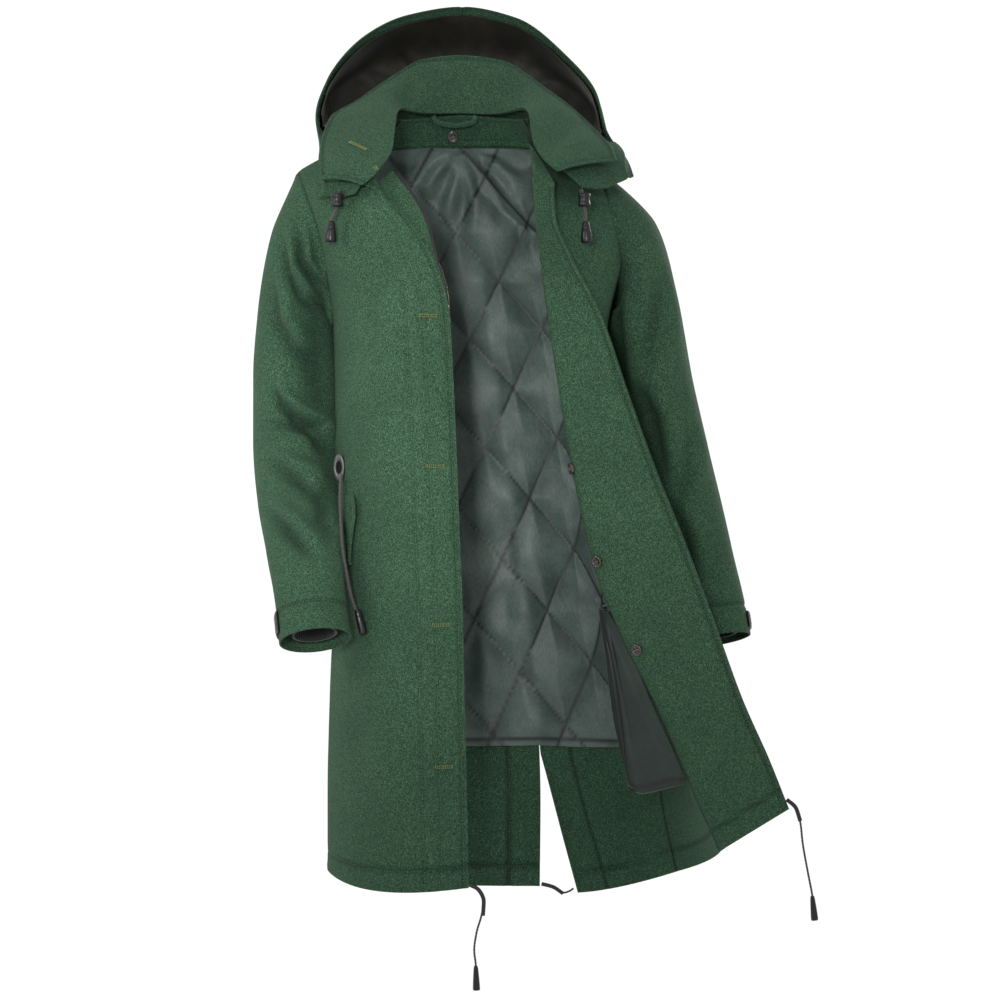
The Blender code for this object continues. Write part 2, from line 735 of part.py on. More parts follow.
# Pocket flaps on the fronts
flap_right = layer(front_right_surface, FLAP_RIGHT_WINDOW, -FLAP_GAP)
sheet("pocket_flap_right", flap_right, (6, 4), FLAP, -1, "wool")
flap_left = layer(front_left_surface, FLAP_LEFT_WINDOW, -FLAP_GAP)
sheet("pocket_flap_left", flap_left, (6, 4), FLAP, -1, "wool")

# Buttons on the facing and the neck
for number, (u, v) in enumerate(FACING_BUTTONS, 1):
    place = facing_surface(u, v)
    way = normal_of(facing_surface, u, v)
    button("button_facing_%d" % number, place + (FACING - BUTTON_SINK) * way, way)
neck_way = -normal_of(neck_facing_surface, *NECK_BUTTON, NECK_BUTTON_STEP)
neck_way = neck_way * -np.sign(neck_way[1])
neck_at = neck_facing_surface(*NECK_BUTTON)
button("button_neck", neck_at + (FACING + NECK_BUTTON_LIFT) * neck_way, neck_way)
cord("hanger_loop", HANGER_RUN, STRAP_RADIUS, "wool")

# Waist eyelet on the right side with its cord and end
eye_way = -normal_of(front_right_surface, *EYELET_PLACE)
eye_at = front_right_surface(*EYELET_PLACE) + (LAYER_GAP + EYELET_TUBE) * eye_way
bpy.ops.mesh.primitive_torus_add(
    major_segments=20, minor_segments=8, major_radius=EYELET_RADIUS * MM, minor_radius=EYELET_TUBE * MM)
eyelet = bpy.context.object
eyelet.name = "eyelet_right"
eye_turn = Vector(eye_way).to_track_quat("Z", "Y").to_matrix().to_4x4()
eye_stretch = Matrix.Diagonal((1.0, EYELET_STRETCH, 1.0, 1.0))
eyelet.data.transform(Matrix.Translation(Vector(eye_at) * MM) @ eye_turn @ eye_stretch)
adopt(eyelet, "eyelet")
cord("waist_cord", WAIST_CORD_RUN, CORD_RADIUS, "cord")
waist_end = np.array(WAIST_CORD_RUN[-1]) + np.array(WAIST_END_STEP)
toggle("waist_cord_end", waist_end, WAIST_END_WAY, WAIST_END_LENGTH, WAIST_END_TOP,
       WAIST_END_BOTTOM, "leather")

# Hood cords with stoppers and bell ends
for side_name, run in (("right", HOOD_CORD_RIGHT_RUN), ("left", HOOD_CORD_LEFT_RUN)):
    first = np.array(run[0])
    final = np.array(run[-1])
    stop_top = first + np.array([0.0, 0.0, STOPPER_LENGTH + STOPPER_GAP])
    toggle("hood_stopper_" + side_name, stop_top, (0, 0, -1), STOPPER_LENGTH, STOPPER_RADIUS,
           STOPPER_RADIUS, "leather")
    cord("hood_cord_" + side_name, run, CORD_RADIUS, "cord")
    toggle("hood_cord_end_" + side_name, final - np.array([0.0, 0.0, BELL_GAP]), (0, 0, -1), BELL_LENGTH,
           BELL_TOP, BELL_BOTTOM, "leather")

# Hem straps, cords and ends at both front corners and the vent
tag_step = np.array([0.0, 0.0, TAG_GAP])
cord("hem_strap_right", HEM_STRAP_RIGHT_RUN, STRAP_RADIUS, "leather")
cord("hem_cord_right", HEM_CORD_RIGHT_RUN, THIN_CORD_RADIUS, "cord")
toggle("hem_cord_end_right", np.array(HEM_CORD_RIGHT_RUN[-1]) - tag_step, TAG_RIGHT_WAY,
       TAG_RIGHT_LENGTH, TAG_TOP, TAG_BOTTOM, "leather")
cord("hem_strap_left", HEM_STRAP_LEFT_RUN, STRAP_RADIUS, "leather")
cord("hem_cord_left", HEM_CORD_LEFT_RUN, THIN_CORD_RADIUS, "cord")
toggle("hem_cord_end_left", np.array(HEM_CORD_LEFT_RUN[-1]) - tag_step, TAG_LEFT_WAY,
       TAG_LEFT_LENGTH, TAG_TOP, TAG_BOTTOM, "leather")
cord("vent_strap", VENT_STRAP_RUN, STRAP_RADIUS, "leather")
cord("vent_cord", VENT_CORD_RUN, THIN_CORD_RADIUS, "cord")
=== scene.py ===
import bpy
import numpy as np
from math import cos, pi, sin
from mathutils import Matrix, Vector


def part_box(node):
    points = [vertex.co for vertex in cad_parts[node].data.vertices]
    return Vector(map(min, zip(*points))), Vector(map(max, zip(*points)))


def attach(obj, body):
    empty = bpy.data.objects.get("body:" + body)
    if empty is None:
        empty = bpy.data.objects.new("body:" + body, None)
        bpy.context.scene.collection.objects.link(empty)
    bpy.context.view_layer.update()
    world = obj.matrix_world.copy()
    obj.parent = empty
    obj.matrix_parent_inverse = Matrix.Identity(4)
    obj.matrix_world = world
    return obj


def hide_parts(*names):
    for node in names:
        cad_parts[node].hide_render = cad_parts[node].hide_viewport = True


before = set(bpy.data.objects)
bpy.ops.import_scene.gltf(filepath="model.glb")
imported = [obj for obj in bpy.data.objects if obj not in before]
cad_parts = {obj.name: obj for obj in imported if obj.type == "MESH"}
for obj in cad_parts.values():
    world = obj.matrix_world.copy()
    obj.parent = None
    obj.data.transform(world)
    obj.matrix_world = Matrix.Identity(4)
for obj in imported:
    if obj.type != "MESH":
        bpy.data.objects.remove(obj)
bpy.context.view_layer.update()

# Body: two fronts and two backs, cut from felted wool cloth about 2 mm thick and sewn at the
# sides, the shoulders and the back centre. The right front ends in a buttonhole fly, and the
# left front is turned back at its roll, so that its inner side shows down to the hem.
MM = 0.001
TINY = 1e-9
WOOL = 2.0
SEAM_DIP = 1.8
SEAM_REACH = 4.0
JOIN_FADE = 30.0
HEM_DEPTH = 27.0
EDGE_STITCH = 6.0
GROOVE = 1.5
GROOVE_REACH = 2.4
HEM_SWELL = (4.0, 0.8, 5.0)

# Painted shade along joined edges, stitched edges and hems: strength and width
JOINED = (0.7, 2.5)
STITCHED = (0.55, 2.0)
HEMMED = (0.6, 2.2)

# Photo the places below were read from: its middle in the coat's frame, the camera's distance,
# and a pixel's size in the plane of the neck, where the back is about 1 m long from neck to hem
PHOTO_MIDDLE = 500
MIDDLE_X = 49.4
MIDDLE_Z = -435.5
CAMERA_AWAY = 4500.0
BACK_LENGTH = 1003.6
BACK_PIXELS = 772
PIXEL = BACK_LENGTH / BACK_PIXELS


# Millimetres of a place in the photo: pixels across and down, and the depth judged for it
def place(across, down, depth):
    pixel = PIXEL * (1 + depth / CAMERA_AWAY)
    x = MIDDLE_X + (across - PHOTO_MIDDLE) * pixel
    z = MIDDLE_Z + (PHOTO_MIDDLE - down) * pixel
    return round(x), round(depth), round(z)


# Rows or rings of photo places in millimetres; a ring's sizes are millimetres already
def placed(rows):
    return [[place(*spot) if isinstance(spot, tuple) else spot for spot in row] for row in rows]


# Rows from hem to shoulder: fly edge, front corner, side or armhole
FRONT_RIGHT_ROWS = placed([
    ((469, 888, -150), (375, 891, -130), (327, 868, 0)),
    ((467, 800, -152), (372, 800, -130), (327, 790, 0)),
    ((465, 700, -152), (371, 700, -130), (329, 695, 0)),
    ((462, 600, -152), (371, 600, -128), (333, 600, 0)),
    ((458, 500, -152), (371, 500, -126), (334, 500, 0)),
    ((454, 400, -152), (369, 400, -126), (334, 400, 0)),
    ((449, 308, -150), (365, 310, -126), (333, 325, 0)),
    ((437, 268, -147), (360, 262, -122), (324, 262, -45)),
    ((420, 237, -141), (352, 225, -110), (315, 224, -50)),
    ((394, 205, -130), (345, 190, -88), (306, 197, -38)),
    ((372, 188, -115), (368, 150, -40), (300, 180, -15)),
    ((361, 184, -105), (394, 118, 5), (297, 170, 8)),
])

# Rows from hem to shoulder: centre seam, back corner, side or armhole
BACK_RIGHT_ROWS = placed([
    ((540, 886, 142), (391, 882, 120), (327, 868, 0)),
    ((541, 800, 142), (390, 800, 120), (327, 790, 0)),
    ((537, 700, 142), (388, 700, 120), (329, 695, 0)),
    ((524, 600, 141), (384, 600, 120), (333, 600, 0)),
    ((512, 500, 140), (380, 500, 120), (334, 500, 0)),
    ((499, 400, 140), (376, 400, 120), (334, 400, 0)),
    ((487, 310, 140), (370, 310, 120), (333, 325, 0)),
    ((481, 262, 138), (362, 262, 118), (322, 262, 62)),
    ((476, 225, 134), (356, 225, 115), (311, 224, 66)),
    ((471, 185, 126), (352, 185, 108), (303, 197, 52)),
    ((466, 145, 112), (368, 150, 68), (299, 180, 30)),
    ((462, 114, 95), (394, 118, 5), (297, 170, 8)),
])
BACK_LEFT_ROWS = placed([
    ((540, 886, 142), (622, 886, 128), (678, 871, 75)),
    ((541, 800, 142), (608, 805, 136), (664, 800, 80)),
    ((537, 700, 142), (605, 700, 138), (652, 700, 80)),
    ((524, 600, 141), (592, 600, 138), (624, 600, 65)),
    ((512, 500, 140), (583, 500, 135), (610, 500, 48)),
    ((499, 400, 140), (574, 400, 132), (604, 400, 38)),
    ((487, 310, 140), (566, 310, 130), (603, 330, 38)),
    ((481, 262, 138), (560, 262, 125), (615, 262, 75)),
    ((476, 225, 134), (555, 225, 120), (612, 224, 72)),
    ((471, 185, 126), (547, 185, 110), (606, 197, 58)),
    ((466, 145, 112), (548, 150, 72), (600, 182, 35)),
    ((462, 114, 95), (530, 118, 5), (598, 172, 10)),
])

# Rows from hem to shoulder: side or armhole, chest, roll, free edge
FRONT_LEFT_ROWS = placed([
    ((678, 871, 75), (712, 862, 0), (722, 850, -105), (789, 809, -160)),
    ((664, 800, 80), (686, 797, 0), (692, 785, -102), (770, 760, -155)),
    ((652, 700, 80), (664, 707, 8), (660, 715, -98), (743, 700, -150)),
    ((624, 600, 65), (620, 620, -20), (621, 634, -98), (716, 625, -145)),
    ((610, 500, 48), (612, 540, -30), (594, 572, -100), (688, 549, -140)),
    ((604, 400, 38), (612, 440, -50), (569, 470, -104), (654, 465, -136)),
    ((603, 330, 38), (618, 358, -66), (556, 390, -108), (628, 392, -134)),
    ((622, 262, -35), (606, 300, -85), (545, 320, -112), (602, 316, -134)),
    ((616, 226, -42), (594, 250, -92), (536, 258, -114), (573, 258, -134)),
    ((608, 196, -30), (580, 205, -85), (531, 210, -112), (556, 216, -130)),
    ((602, 182, -8), (556, 160, -35), (530, 172, -95), (554, 192, -120)),
    ((598, 172, 10), (530, 118, 5), (529, 142, -50), (555, 180, -110)),
])
YOKE_START = 9.2 / 11
NECK_FRONT = 0.7
NECK_BACK = 0.95
VENT_TOP = 1.49 / 11
VENT_SPREAD = (50.5, 0.0, -9.0)
ROLL_START = 11 / 20
ROLL_END = 14 / 20
ROLL_REACH = 18.0


# Smooth run through the rows of a table, without swinging past them
def along(rows, t, each=False):
    rows = np.asarray(rows, float)
    last = len(rows) - 1
    row = np.clip(t[:, 0], 0.0, 1.0) * last
    i = np.minimum(row.astype(int), last - 1)
    step = np.diff(rows, axis=0)
    onward = step[:-1] * step[1:] > 0
    total = np.where(onward, step[:-1] + step[1:], 1.0)
    mean = np.where(onward, 2 * step[:-1] * step[1:] / total, 0.0)
    slopes = np.concatenate([step[:1], mean, step[-1:]])
    here = (i, np.arange(len(i))) if each else i
    there = (i + 1, np.arange(len(i))) if each else i + 1
    f = (row - i).reshape((-1,) + (1,) * (rows.ndim - (2 if each else 1)))
    curve = slopes[here] * f * (1 - f) ** 2 + slopes[there] * f * f * (f - 1)
    return rows[here] + step[here] * f * f * (3 - 2 * f) + curve


def ease(t):
    t = np.clip(t, 0.0, 1.0)
    return t * t * (3 - 2 * t)


def bend3(a, b, c, t):
    return a * (1 - t) ** 2 + b * 2 * t * (1 - t) + c * t ** 2


# Half of a front or back: an even curve below, neck curve and straight shoulder above
def half_panel(rows, neck, vent=(0.0, 0.0, 0.0)):
    def surface(u, v):
        edge, mid, side = np.moveaxis(along(rows, v), 1, 0)
        edge = edge + np.array(vent) * np.maximum(0.0, 1 - v / VENT_TOP)
        low = edge * (1 - u) * (1 - 2 * u) + mid * 4 * u * (1 - u) + side * u * (2 * u - 1)
        yoke = ease((v - YOKE_START) / (1 - YOKE_START))
        corner = mid.copy()
        corner[:, 1] += neck * (edge[:, 1] - mid[:, 1])
        corner[:, 2] = 0.5 * (edge[:, 2] + mid[:, 2])
        high = np.where(u < 0.5, bend3(edge, corner, mid, 2 * u), mid + (side - mid) * (2 * u - 1))
        return low * (1 - yoke) + high * yoke
    return surface


# Left front: chest from the side to the roll, the roll, then the turned-back part
def front_left_surface(u, v):
    side, chest, roll, free = np.moveaxis(along(FRONT_LEFT_ROWS, v), 1, 0)
    yoke = ease((v - YOKE_START) / (1 - YOKE_START))
    into = chest - roll
    out = free - roll
    a = roll + into * ROLL_REACH / np.linalg.norm(into, axis=1, keepdims=True)
    b = roll + out * ROLL_REACH / np.linalg.norm(out, axis=1, keepdims=True)
    t = u / ROLL_START
    high = np.where(t < 0.5, side + (chest - side) * 2 * t, chest + (a - chest) * (2 * t - 1))
    chest_part = bend3(side, chest, a, t) * (1 - yoke) + high * yoke
    rolled = bend3(a, roll, b, (u - ROLL_START) / (ROLL_END - ROLL_START))
    turned = b + (free - b) * (u - ROLL_END) / (1 - ROLL_END)
    return np.where(u < ROLL_START, chest_part, np.where(u < ROLL_END, rolled, turned))


front_right_surface = half_panel(FRONT_RIGHT_ROWS, NECK_FRONT)
back_right_surface = half_panel(BACK_RIGHT_ROWS, NECK_BACK)
back_left_surface = half_panel(BACK_LEFT_ROWS, NECK_BACK, VENT_SPREAD)


# Even grid of places on a panel, first all along v, then step by step along u
def grid(counts, window=(0.0, 1.0, 0.0, 1.0)):
    u, v = np.meshgrid(np.linspace(window[0], window[1], counts[0] + 1),
                       np.linspace(window[2], window[3], counts[1] + 1), indexing="ij")
    return u.reshape(-1, 1), v.reshape(-1, 1)


# Normals of the grid, taken across its seam where the piece is a tube
def normals(points, counts, closed=False):
    net = points.reshape(counts[0] + 1, counts[1] + 1, 3)
    du = np.gradient(net, axis=0)
    if closed:
        du[0] = du[-1] = net[1] - net[-2]
    way = np.cross(du, np.gradient(net, axis=1)).reshape(-1, 3)
    return way / np.maximum(np.linalg.norm(way, axis=1, keepdims=True), TINY)


# Distances in millimetres of every grid place from the four borders: first u, last u, first v, last v
def reach(points, counts):
    net = points.reshape(counts[0] + 1, counts[1] + 1, 3)
    found = []
    for axis in (0, 1):
        step = np.linalg.norm(np.diff(net, axis=axis), axis=2)
        run = np.zeros(net.shape[:2])
        if axis == 0:
            run[1:] = np.cumsum(step, axis=0)
            far = run[-1:] - run
        else:
            run[:, 1:] = np.cumsum(step, axis=1)
            far = run[:, -1:] - run
        found += [run.reshape(-1, 1), far.reshape(-1, 1)]
    return found


# Soft bump of a line at some distance
def bump(distance, width):
    return np.exp(-(distance / width) ** 2)


# Stitched groove along a line
def groove(distance):
    return -GROOVE * bump(distance, GROOVE_REACH)


# Cloth drawn down along the edges that are sewn together
def sewn(*edges):
    return -SEAM_DIP * sum(bump(edge, SEAM_REACH) for edge in edges)


# Swell beside an edge, given by how far in it lies, its height and its width
def swell(distance, size):
    inset, height, width = size
    return height * bump(distance - inset, width)


# Painted shade along sewn lines, the strongest counting: distance, strength and width of each
def shading(*marks):
    return np.maximum.reduce([tone * bump(distance, width) for distance, tone, width in marks])


STEEP = 0.7
GENTLE = 1.4
RIDGE = 0.7
RIDGE_OFF = 1.5
CREASE_FADE = 0.8
CREASE_FACING = 2.0


# One crease seen from the front or back: a trough along its run, steep toward the ridge beside it
def crease(points, way, run, width, depth, facing=-1.0):
    flat = points[:, [0, 2]]
    nearest = np.full(len(flat), np.inf)
    share = np.zeros(len(flat))
    beside = np.zeros(len(flat))
    run = np.array(run, float)
    sizes = np.linalg.norm(np.diff(run, axis=0), axis=1)
    done = 0.0
    for start, end, size in zip(run[:-1], run[1:], sizes):
        heading = end - start
        t = np.clip((flat - start) @ heading / size ** 2, 0.0, 1.0)
        off = flat - start - t[:, None] * heading
        distance = np.linalg.norm(off, axis=1)
        closer = distance < nearest
        nearest = np.where(closer, distance, nearest)
        share = np.where(closer, (done + t * size) / sizes.sum(), share)
        turn = np.sign(heading[0] * off[:, 1] - heading[1] * off[:, 0])
        beside = np.where(closer, distance * turn, beside)
        done += size
    fade = np.sin(pi * share) ** CREASE_FADE * ease(way[:, 1] * facing * CREASE_FACING)
    trough = bump(nearest, width * np.where(beside > 0, STEEP, GENTLE))
    shape = RIDGE * bump(beside - RIDGE_OFF * width, width) - trough
    return (depth * fade * shape)[:, None]


# All creases of a piece: the run in x and z, width and depth of each, and the side it faces
def creased(points, way, rows):
    return sum(crease(points, way, *row) for row in rows)


# Three crossing waves: steps in x, y and z, turn and share of each
CROSSING = ((1.7, 0.0, 0.9, 1.0, 1.0), (-0.7, 1.0, 1.3, 2.1, 1.0), (2.3, 1.9, -0.4, 3.7, 0.6))


# Slow waves that keep a large cloth from lying dead flat
def waves(points, size, height, turn):
    x, y, z = (points / size).T
    total = sum(share * np.sin(x * in_x + y * in_y + z * in_z + turn * shift)
                for in_x, in_y, in_z, shift, share in CROSSING)
    return (height * total / sum(row[-1] for row in CROSSING))[:, None]


# Pick one piece alone, so that the next operators work on it only
def alone(piece):
    bpy.ops.object.select_all(action="DESELECT")
    piece.select_set(True)
    bpy.context.view_layer.objects.active = piece


# Piece from corners in millimetres and faces, picked alone
def make(name, corners, faces):
    mesh = bpy.data.meshes.new(name)
    mesh.from_pydata((np.array(corners) * MM).tolist(), [], faces)
    piece = bpy.data.objects.new(name, mesh)
    bpy.context.scene.collection.objects.link(piece)
    alone(piece)
    return piece


# Turn the faces of the picked piece outward
def face_out():
    bpy.ops.object.mode_set(mode="EDIT")
    bpy.ops.mesh.select_all(action="SELECT")
    bpy.ops.mesh.normals_make_consistent(inside=False)
    bpy.ops.object.mode_set(mode="OBJECT")


CLOTH_ANGLE = 1.0


# Cloth piece from its grid of places, given its thickness toward the inner side
def cloth(name, points, counts, thick, grow, closed=False, seam=None):
    nu, nv = counts
    columns = nu if closed else nu + 1
    kept = points.reshape(nu + 1, nv + 1, 3)[:columns].reshape(-1, 3)
    spots = np.arange(columns * (nv + 1)).reshape(columns, nv + 1)
    onward = np.roll(spots, -1, axis=0) if closed else spots[1:]
    first = spots if closed else spots[:-1]
    faces = np.stack([first[:, :-1], onward[:, :-1], onward[:, 1:], first[:, 1:]], axis=2)
    piece = make(name, kept, faces.reshape(-1, 4).tolist())
    # Painted shade along seams and crease troughs, kept on the points as their seam attribute
    if seam is not None:
        shade = seam.reshape(nu + 1, nv + 1)[:columns]
        piece.data.attributes.new("seam", "FLOAT", "POINT").data.foreach_set("value", shade.ravel())
    wall = piece.modifiers.new("wall", "SOLIDIFY")
    wall.thickness = thick * MM
    wall.offset = grow
    wall.use_even_offset = False
    bpy.ops.object.modifier_apply(modifier="wall")
    bpy.ops.object.shade_smooth_by_angle(angle=CLOTH_ANGLE)
    return piece


# Places on a grid where a distance field reaches a value, column by column or row by row
def line_at(points, way, counts, field, value, axis, start=0.0, end=1.0):
    shape = (counts[0] + 1, counts[1] + 1)
    net = points.reshape(*shape, 3)
    lean = way.reshape(*shape, 3)
    field = field.reshape(shape)
    if axis == 1:
        net, lean, field = net.swapaxes(0, 1), lean.swapaxes(0, 1), field.T
    count = net.shape[1]
    places, leans = [], []
    for k in range(round(start * (count - 1)), round(end * (count - 1)) + 1):
        order = np.argsort(field[:, k])
        if field[order[-1], k] >= value >= field[order[0], k]:
            places.append([np.interp(value, field[order, k], net[order, k, q]) for q in range(3)])
            leans.append([np.interp(value, field[order, k], lean[order, k, q]) for q in range(3)])
    return np.array(places), np.array(leans)


# Colour given as an sRGB hex value, turned to linear light
def linear(code):
    parts = [int(code[k:k + 2], 16) / 255 for k in (1, 3, 5)]
    return (*[c / 12.92 if c <= 0.04045 else ((c + 0.055) / 1.055) ** 2.4 for c in parts], 1.0)


# One node with its settings, its links and its plain values
def add(tree, kind, settings, inputs):
    made = tree.nodes.new(kind)
    for key, value in settings.items():
        setattr(made, key, value)
    for key, value in inputs.items():
        if isinstance(value, bpy.types.NodeSocket):
            tree.links.new(value, made.inputs[key])
        else:
            made.inputs[key].default_value = value
    return made


def finish_of(name, values):
    made = bpy.data.materials.new(name)
    made.use_nodes = True
    shader = made.node_tree.nodes["Principled BSDF"]
    for key, value in values.items():
        shader.inputs[key].default_value = value
    return made, made.node_tree, shader


def coords(tree, stretch=None):
    where = add(tree, "ShaderNodeTexCoord", {}, {}).outputs["Object"]
    if stretch is None:
        return where
    return add(tree, "ShaderNodeMapping", {}, {"Vector": where, "Scale": stretch}).outputs[0]


# Noise whose grain is given in millimetres
def noise(tree, where, grain, detail, **more):
    return add(tree, "ShaderNodeTexNoise", {}, {
        "Vector": where, "Scale": 1 / (grain * MM), "Detail": detail, **more}).outputs["Fac"]


def ranged(tree, value, low, high, **more):
    return add(tree, "ShaderNodeMapRange", {}, {
        "Value": value, "From Min": low, "From Max": high, **more}).outputs[0]


# Two colours, or a link and a colour, mixed by a share
def mix(tree, share, first, second):
    ends = [linear(end) if isinstance(end, str) else end for end in (first, second)]
    inputs = {0: share, 6: ends[0], 7: ends[1]}
    return add(tree, "ShaderNodeMix", {"data_type": "RGBA"}, inputs).outputs[2]


def colour_by(tree, shader, tone):
    tree.links.new(tone, shader.inputs["Base Color"])


def relief_by(tree, shader, height, strength, distance):
    raised = add(tree, "ShaderNodeBump", {}, {
        "Height": height, "Strength": strength, "Distance": distance * MM})
    tree.links.new(raised.outputs[0], shader.inputs["Normal"])


# Painted shade along sewn lines and in crease troughs, kept with the cloth's points
def seam_shade(tree):
    return add(tree, "ShaderNodeAttribute", {"attribute_name": "seam"}, {}).outputs["Fac"]


# Plain stuff of two tones, mixed by noise of one grain
def mottled(name, values, grain, detail, deep, light):
    made, tree, shader = finish_of(name, values)
    specks = noise(tree, coords(tree), grain, detail)
    colour_by(tree, shader, mix(tree, specks, deep, light))
    return made, tree, shader, specks


# Felted wool: dull, with a soft sheen from its nap. Yarns of three greens are carded together,
# so light and yellowish hairs about 2 mm long speckle a deep green; drawn a little coarse to show.
NAP_STRETCH = (1.0, 1.0, 0.55)
FIBRE = 0.95
FIBRE_ROUGH = 0.7
CLOUD = 70
WEAR = 0.22
DEEP_YARN = (0.36, 0.62)
LIGHT_HAIRS = (0.5, 0.7)
YELLOW_HAIRS = (0.34, 0.24)
WORN = (0.3, 0.7)


def felted_wool(name, dark, deep, light, hair, crevice_shade):
    made, tree, shader = finish_of(name, {
        "Roughness": 0.93, "Specular IOR Level": 0.15, "Sheen Weight": 0.06, "Sheen Roughness": 0.55,
        "Sheen Tint": linear("#8fb394")})
    fibres = noise(tree, coords(tree, NAP_STRETCH), FIBRE, detail=2.0, Roughness=FIBRE_ROUGH)
    cloud = noise(tree, coords(tree), CLOUD, detail=2.0)
    tone = mix(tree, ranged(tree, fibres, *DEEP_YARN), dark, deep)
    tone = mix(tree, ranged(tree, fibres, *LIGHT_HAIRS), tone, light)
    tone = mix(tree, ranged(tree, fibres, *YELLOW_HAIRS), tone, hair)
    worn = ranged(tree, cloud, *WORN, **{"To Min": 0.0, "To Max": WEAR})
    tone = mix(tree, worn, tone, dark)
    # Painted shade: where the seam attribute is high, the colour turns to the near-black crevice shade
    colour_by(tree, shader, mix(tree, seam_shade(tree), tone, crevice_shade))
    relief_by(tree, shader, fibres, strength=0.35, distance=0.5)
    return made


# Last colour: the near-black painted shade of seams, stitch lines and crease troughs
wool = felted_wool("felted_wool_green", "#11231a", "#2d4934", "#4a6950", "#57603b", "#080f0a")


# Hand a finished piece to the object: its material and the node it replaces, hung from the root body
def give(piece, node, finish):
    piece.data.materials.clear()
    piece.data.materials.append(finish)
    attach(piece, "root")
    if node:
        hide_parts(node)
    return piece


# Polyester sewing thread: smooth twisted filament with a slight shine
THREAD_GRAIN = 0.8
THREAD = {"Roughness": 0.55, "Sheen Weight": 0.1}
green_thread = mottled("sewing_thread_green", THREAD, THREAD_GRAIN, 2.0, "#24452f", "#3f6f4b")[0]
olive_thread = mottled("sewing_thread_olive", THREAD, THREAD_GRAIN, 2.0, "#4c4d22", "#7d7d3c")[0]

# A stitch: length, gap to the next one and width; its height, crown and sunk ends as shares
STITCH = (3.0, 1.0, 0.7)
STITCH_HEIGHT = 0.6
STITCH_CROWN = 0.5
STITCH_SUNK = 0.3


# Sewing thread laid in short stitches along runs on the cloth
def stitches(name, runs, finish=green_thread, size=STITCH):
    length, gap, width = size
    corners, faces = [], []
    for places, leans in runs:
        step = np.linalg.norm(np.diff(places, axis=0), axis=1)
        run = np.concatenate([[0.0], np.cumsum(step)])
        starts = np.arange(0.0, run[-1] - length, length + gap)
        spots = [np.stack([np.interp(starts + shift, run, places[:, q]) for q in range(3)], axis=1)
                 for shift in (0.0, length / 2, length)]
        lean = np.stack([np.interp(starts, run, leans[:, q]) for q in range(3)], axis=1)
        across = np.cross(lean, spots[2] - spots[0])
        across = across / np.maximum(np.linalg.norm(across, axis=1, keepdims=True), TINY) * width / 2
        up = lean * width * STITCH_HEIGHT
        for k in range(len(starts)):
            base = len(corners)
            middle = spots[1][k] + up[k] * STITCH_CROWN
            sunk = up[k] * STITCH_SUNK
            corners += [spots[0][k] - sunk, middle + across[k], middle + up[k],
                        middle - across[k], middle - up[k], spots[2][k] - sunk]
            for a, b in ((1, 2), (2, 3), (3, 4), (4, 1)):
                faces += [(base, base + b, base + a), (base + 5, base + a, base + b)]
    piece = make(name, corners, faces)
    face_out()
    return give(piece, None, finish)


# Right front: felted wool, its fly edge pressed and stitched, and two rows down the chest that
# hold the fly behind it. It is sewn to the back at the side and the shoulder.
FRONT_RIGHT_COUNTS = (80, 180)
FRONT_RIGHT_WAVES = (90.0, 1.6, 0.4)
PRESSED_EDGE = 40.0
FLY_SWELL = (3.0, 1.6, 3.2)
FLY_ROWS = (34.0, 56.0)
FLY_ROW_DIP = (0.0, -1.1, 2.6)
FLY_MIDDLE = (sum(FLY_ROWS) / 2, 0.8, 7.0)
FLY_ROW_SHADE = (0.22, 2.4)
FLY_ROW_TOP = 0.78
FLY_FROM = -120.0
FLY_FADE = 60.0
FRONT_RIGHT_CREASES = [
    ([(-140, -330), (-120, -420), (-130, -520)], 26, 4.5),
    ([(-60, -250), (-78, -420), (-70, -640)], 30, 3.3),
    ([(-150, -600), (-130, -760), (-138, -880)], 34, 4.8),
    ([(-95, -120), (-120, -210), (-128, -300)], 22, 3.6),
]
u, v = grid(FRONT_RIGHT_COUNTS)
base = front_right_surface(u, v)
way = -normals(base, FRONT_RIGHT_COUNTS)
fly, side, hem, top = reach(base, FRONT_RIGHT_COUNTS)
lift = waves(base, *FRONT_RIGHT_WAVES) * ease(fly / PRESSED_EDGE) + creased(base, way, FRONT_RIGHT_CREASES)
lift = lift * ease(side / JOIN_FADE) + sewn(side, top)
lift = lift + swell(fly, FLY_SWELL) + groove(fly - EDGE_STITCH)
lift = lift + swell(hem, HEM_SWELL) + groove(hem - HEM_DEPTH)
low_fly = ease((FLY_FROM - base[:, 2:]) / FLY_FADE)
for row in FLY_ROWS:
    lift = lift + swell(fly - row, FLY_ROW_DIP) * low_fly
lift = lift + swell(fly, FLY_MIDDLE) * low_fly
places = base + way * lift
# Painted shade along the side, shoulder, fly edge and hem seams, and beside the fly rows
seam = shading((side, *JOINED), (top, *JOINED),
               (fly - EDGE_STITCH, *STITCHED), (hem - HEM_DEPTH, *STITCHED))
for row in FLY_ROWS:
    seam = np.maximum(seam, shading((fly - row, *FLY_ROW_SHADE)) * low_fly)
front_right = cloth("front_right_wool", places, FRONT_RIGHT_COUNTS, WOOL, 1, seam=seam)
give(front_right, "front_right", wool)
right_edge = line_at(places, way, FRONT_RIGHT_COUNTS, fly, EDGE_STITCH, 0)
right_rows = [line_at(places, way, FRONT_RIGHT_COUNTS, fly, row, 0, 0.0, FLY_ROW_TOP) for row in FLY_ROWS]
right_hem = line_at(places, way, FRONT_RIGHT_COUNTS, hem, HEM_DEPTH, 1)
stitches("front_right_stitches", [right_edge, right_hem] + right_rows)
right_base, right_way = base, way

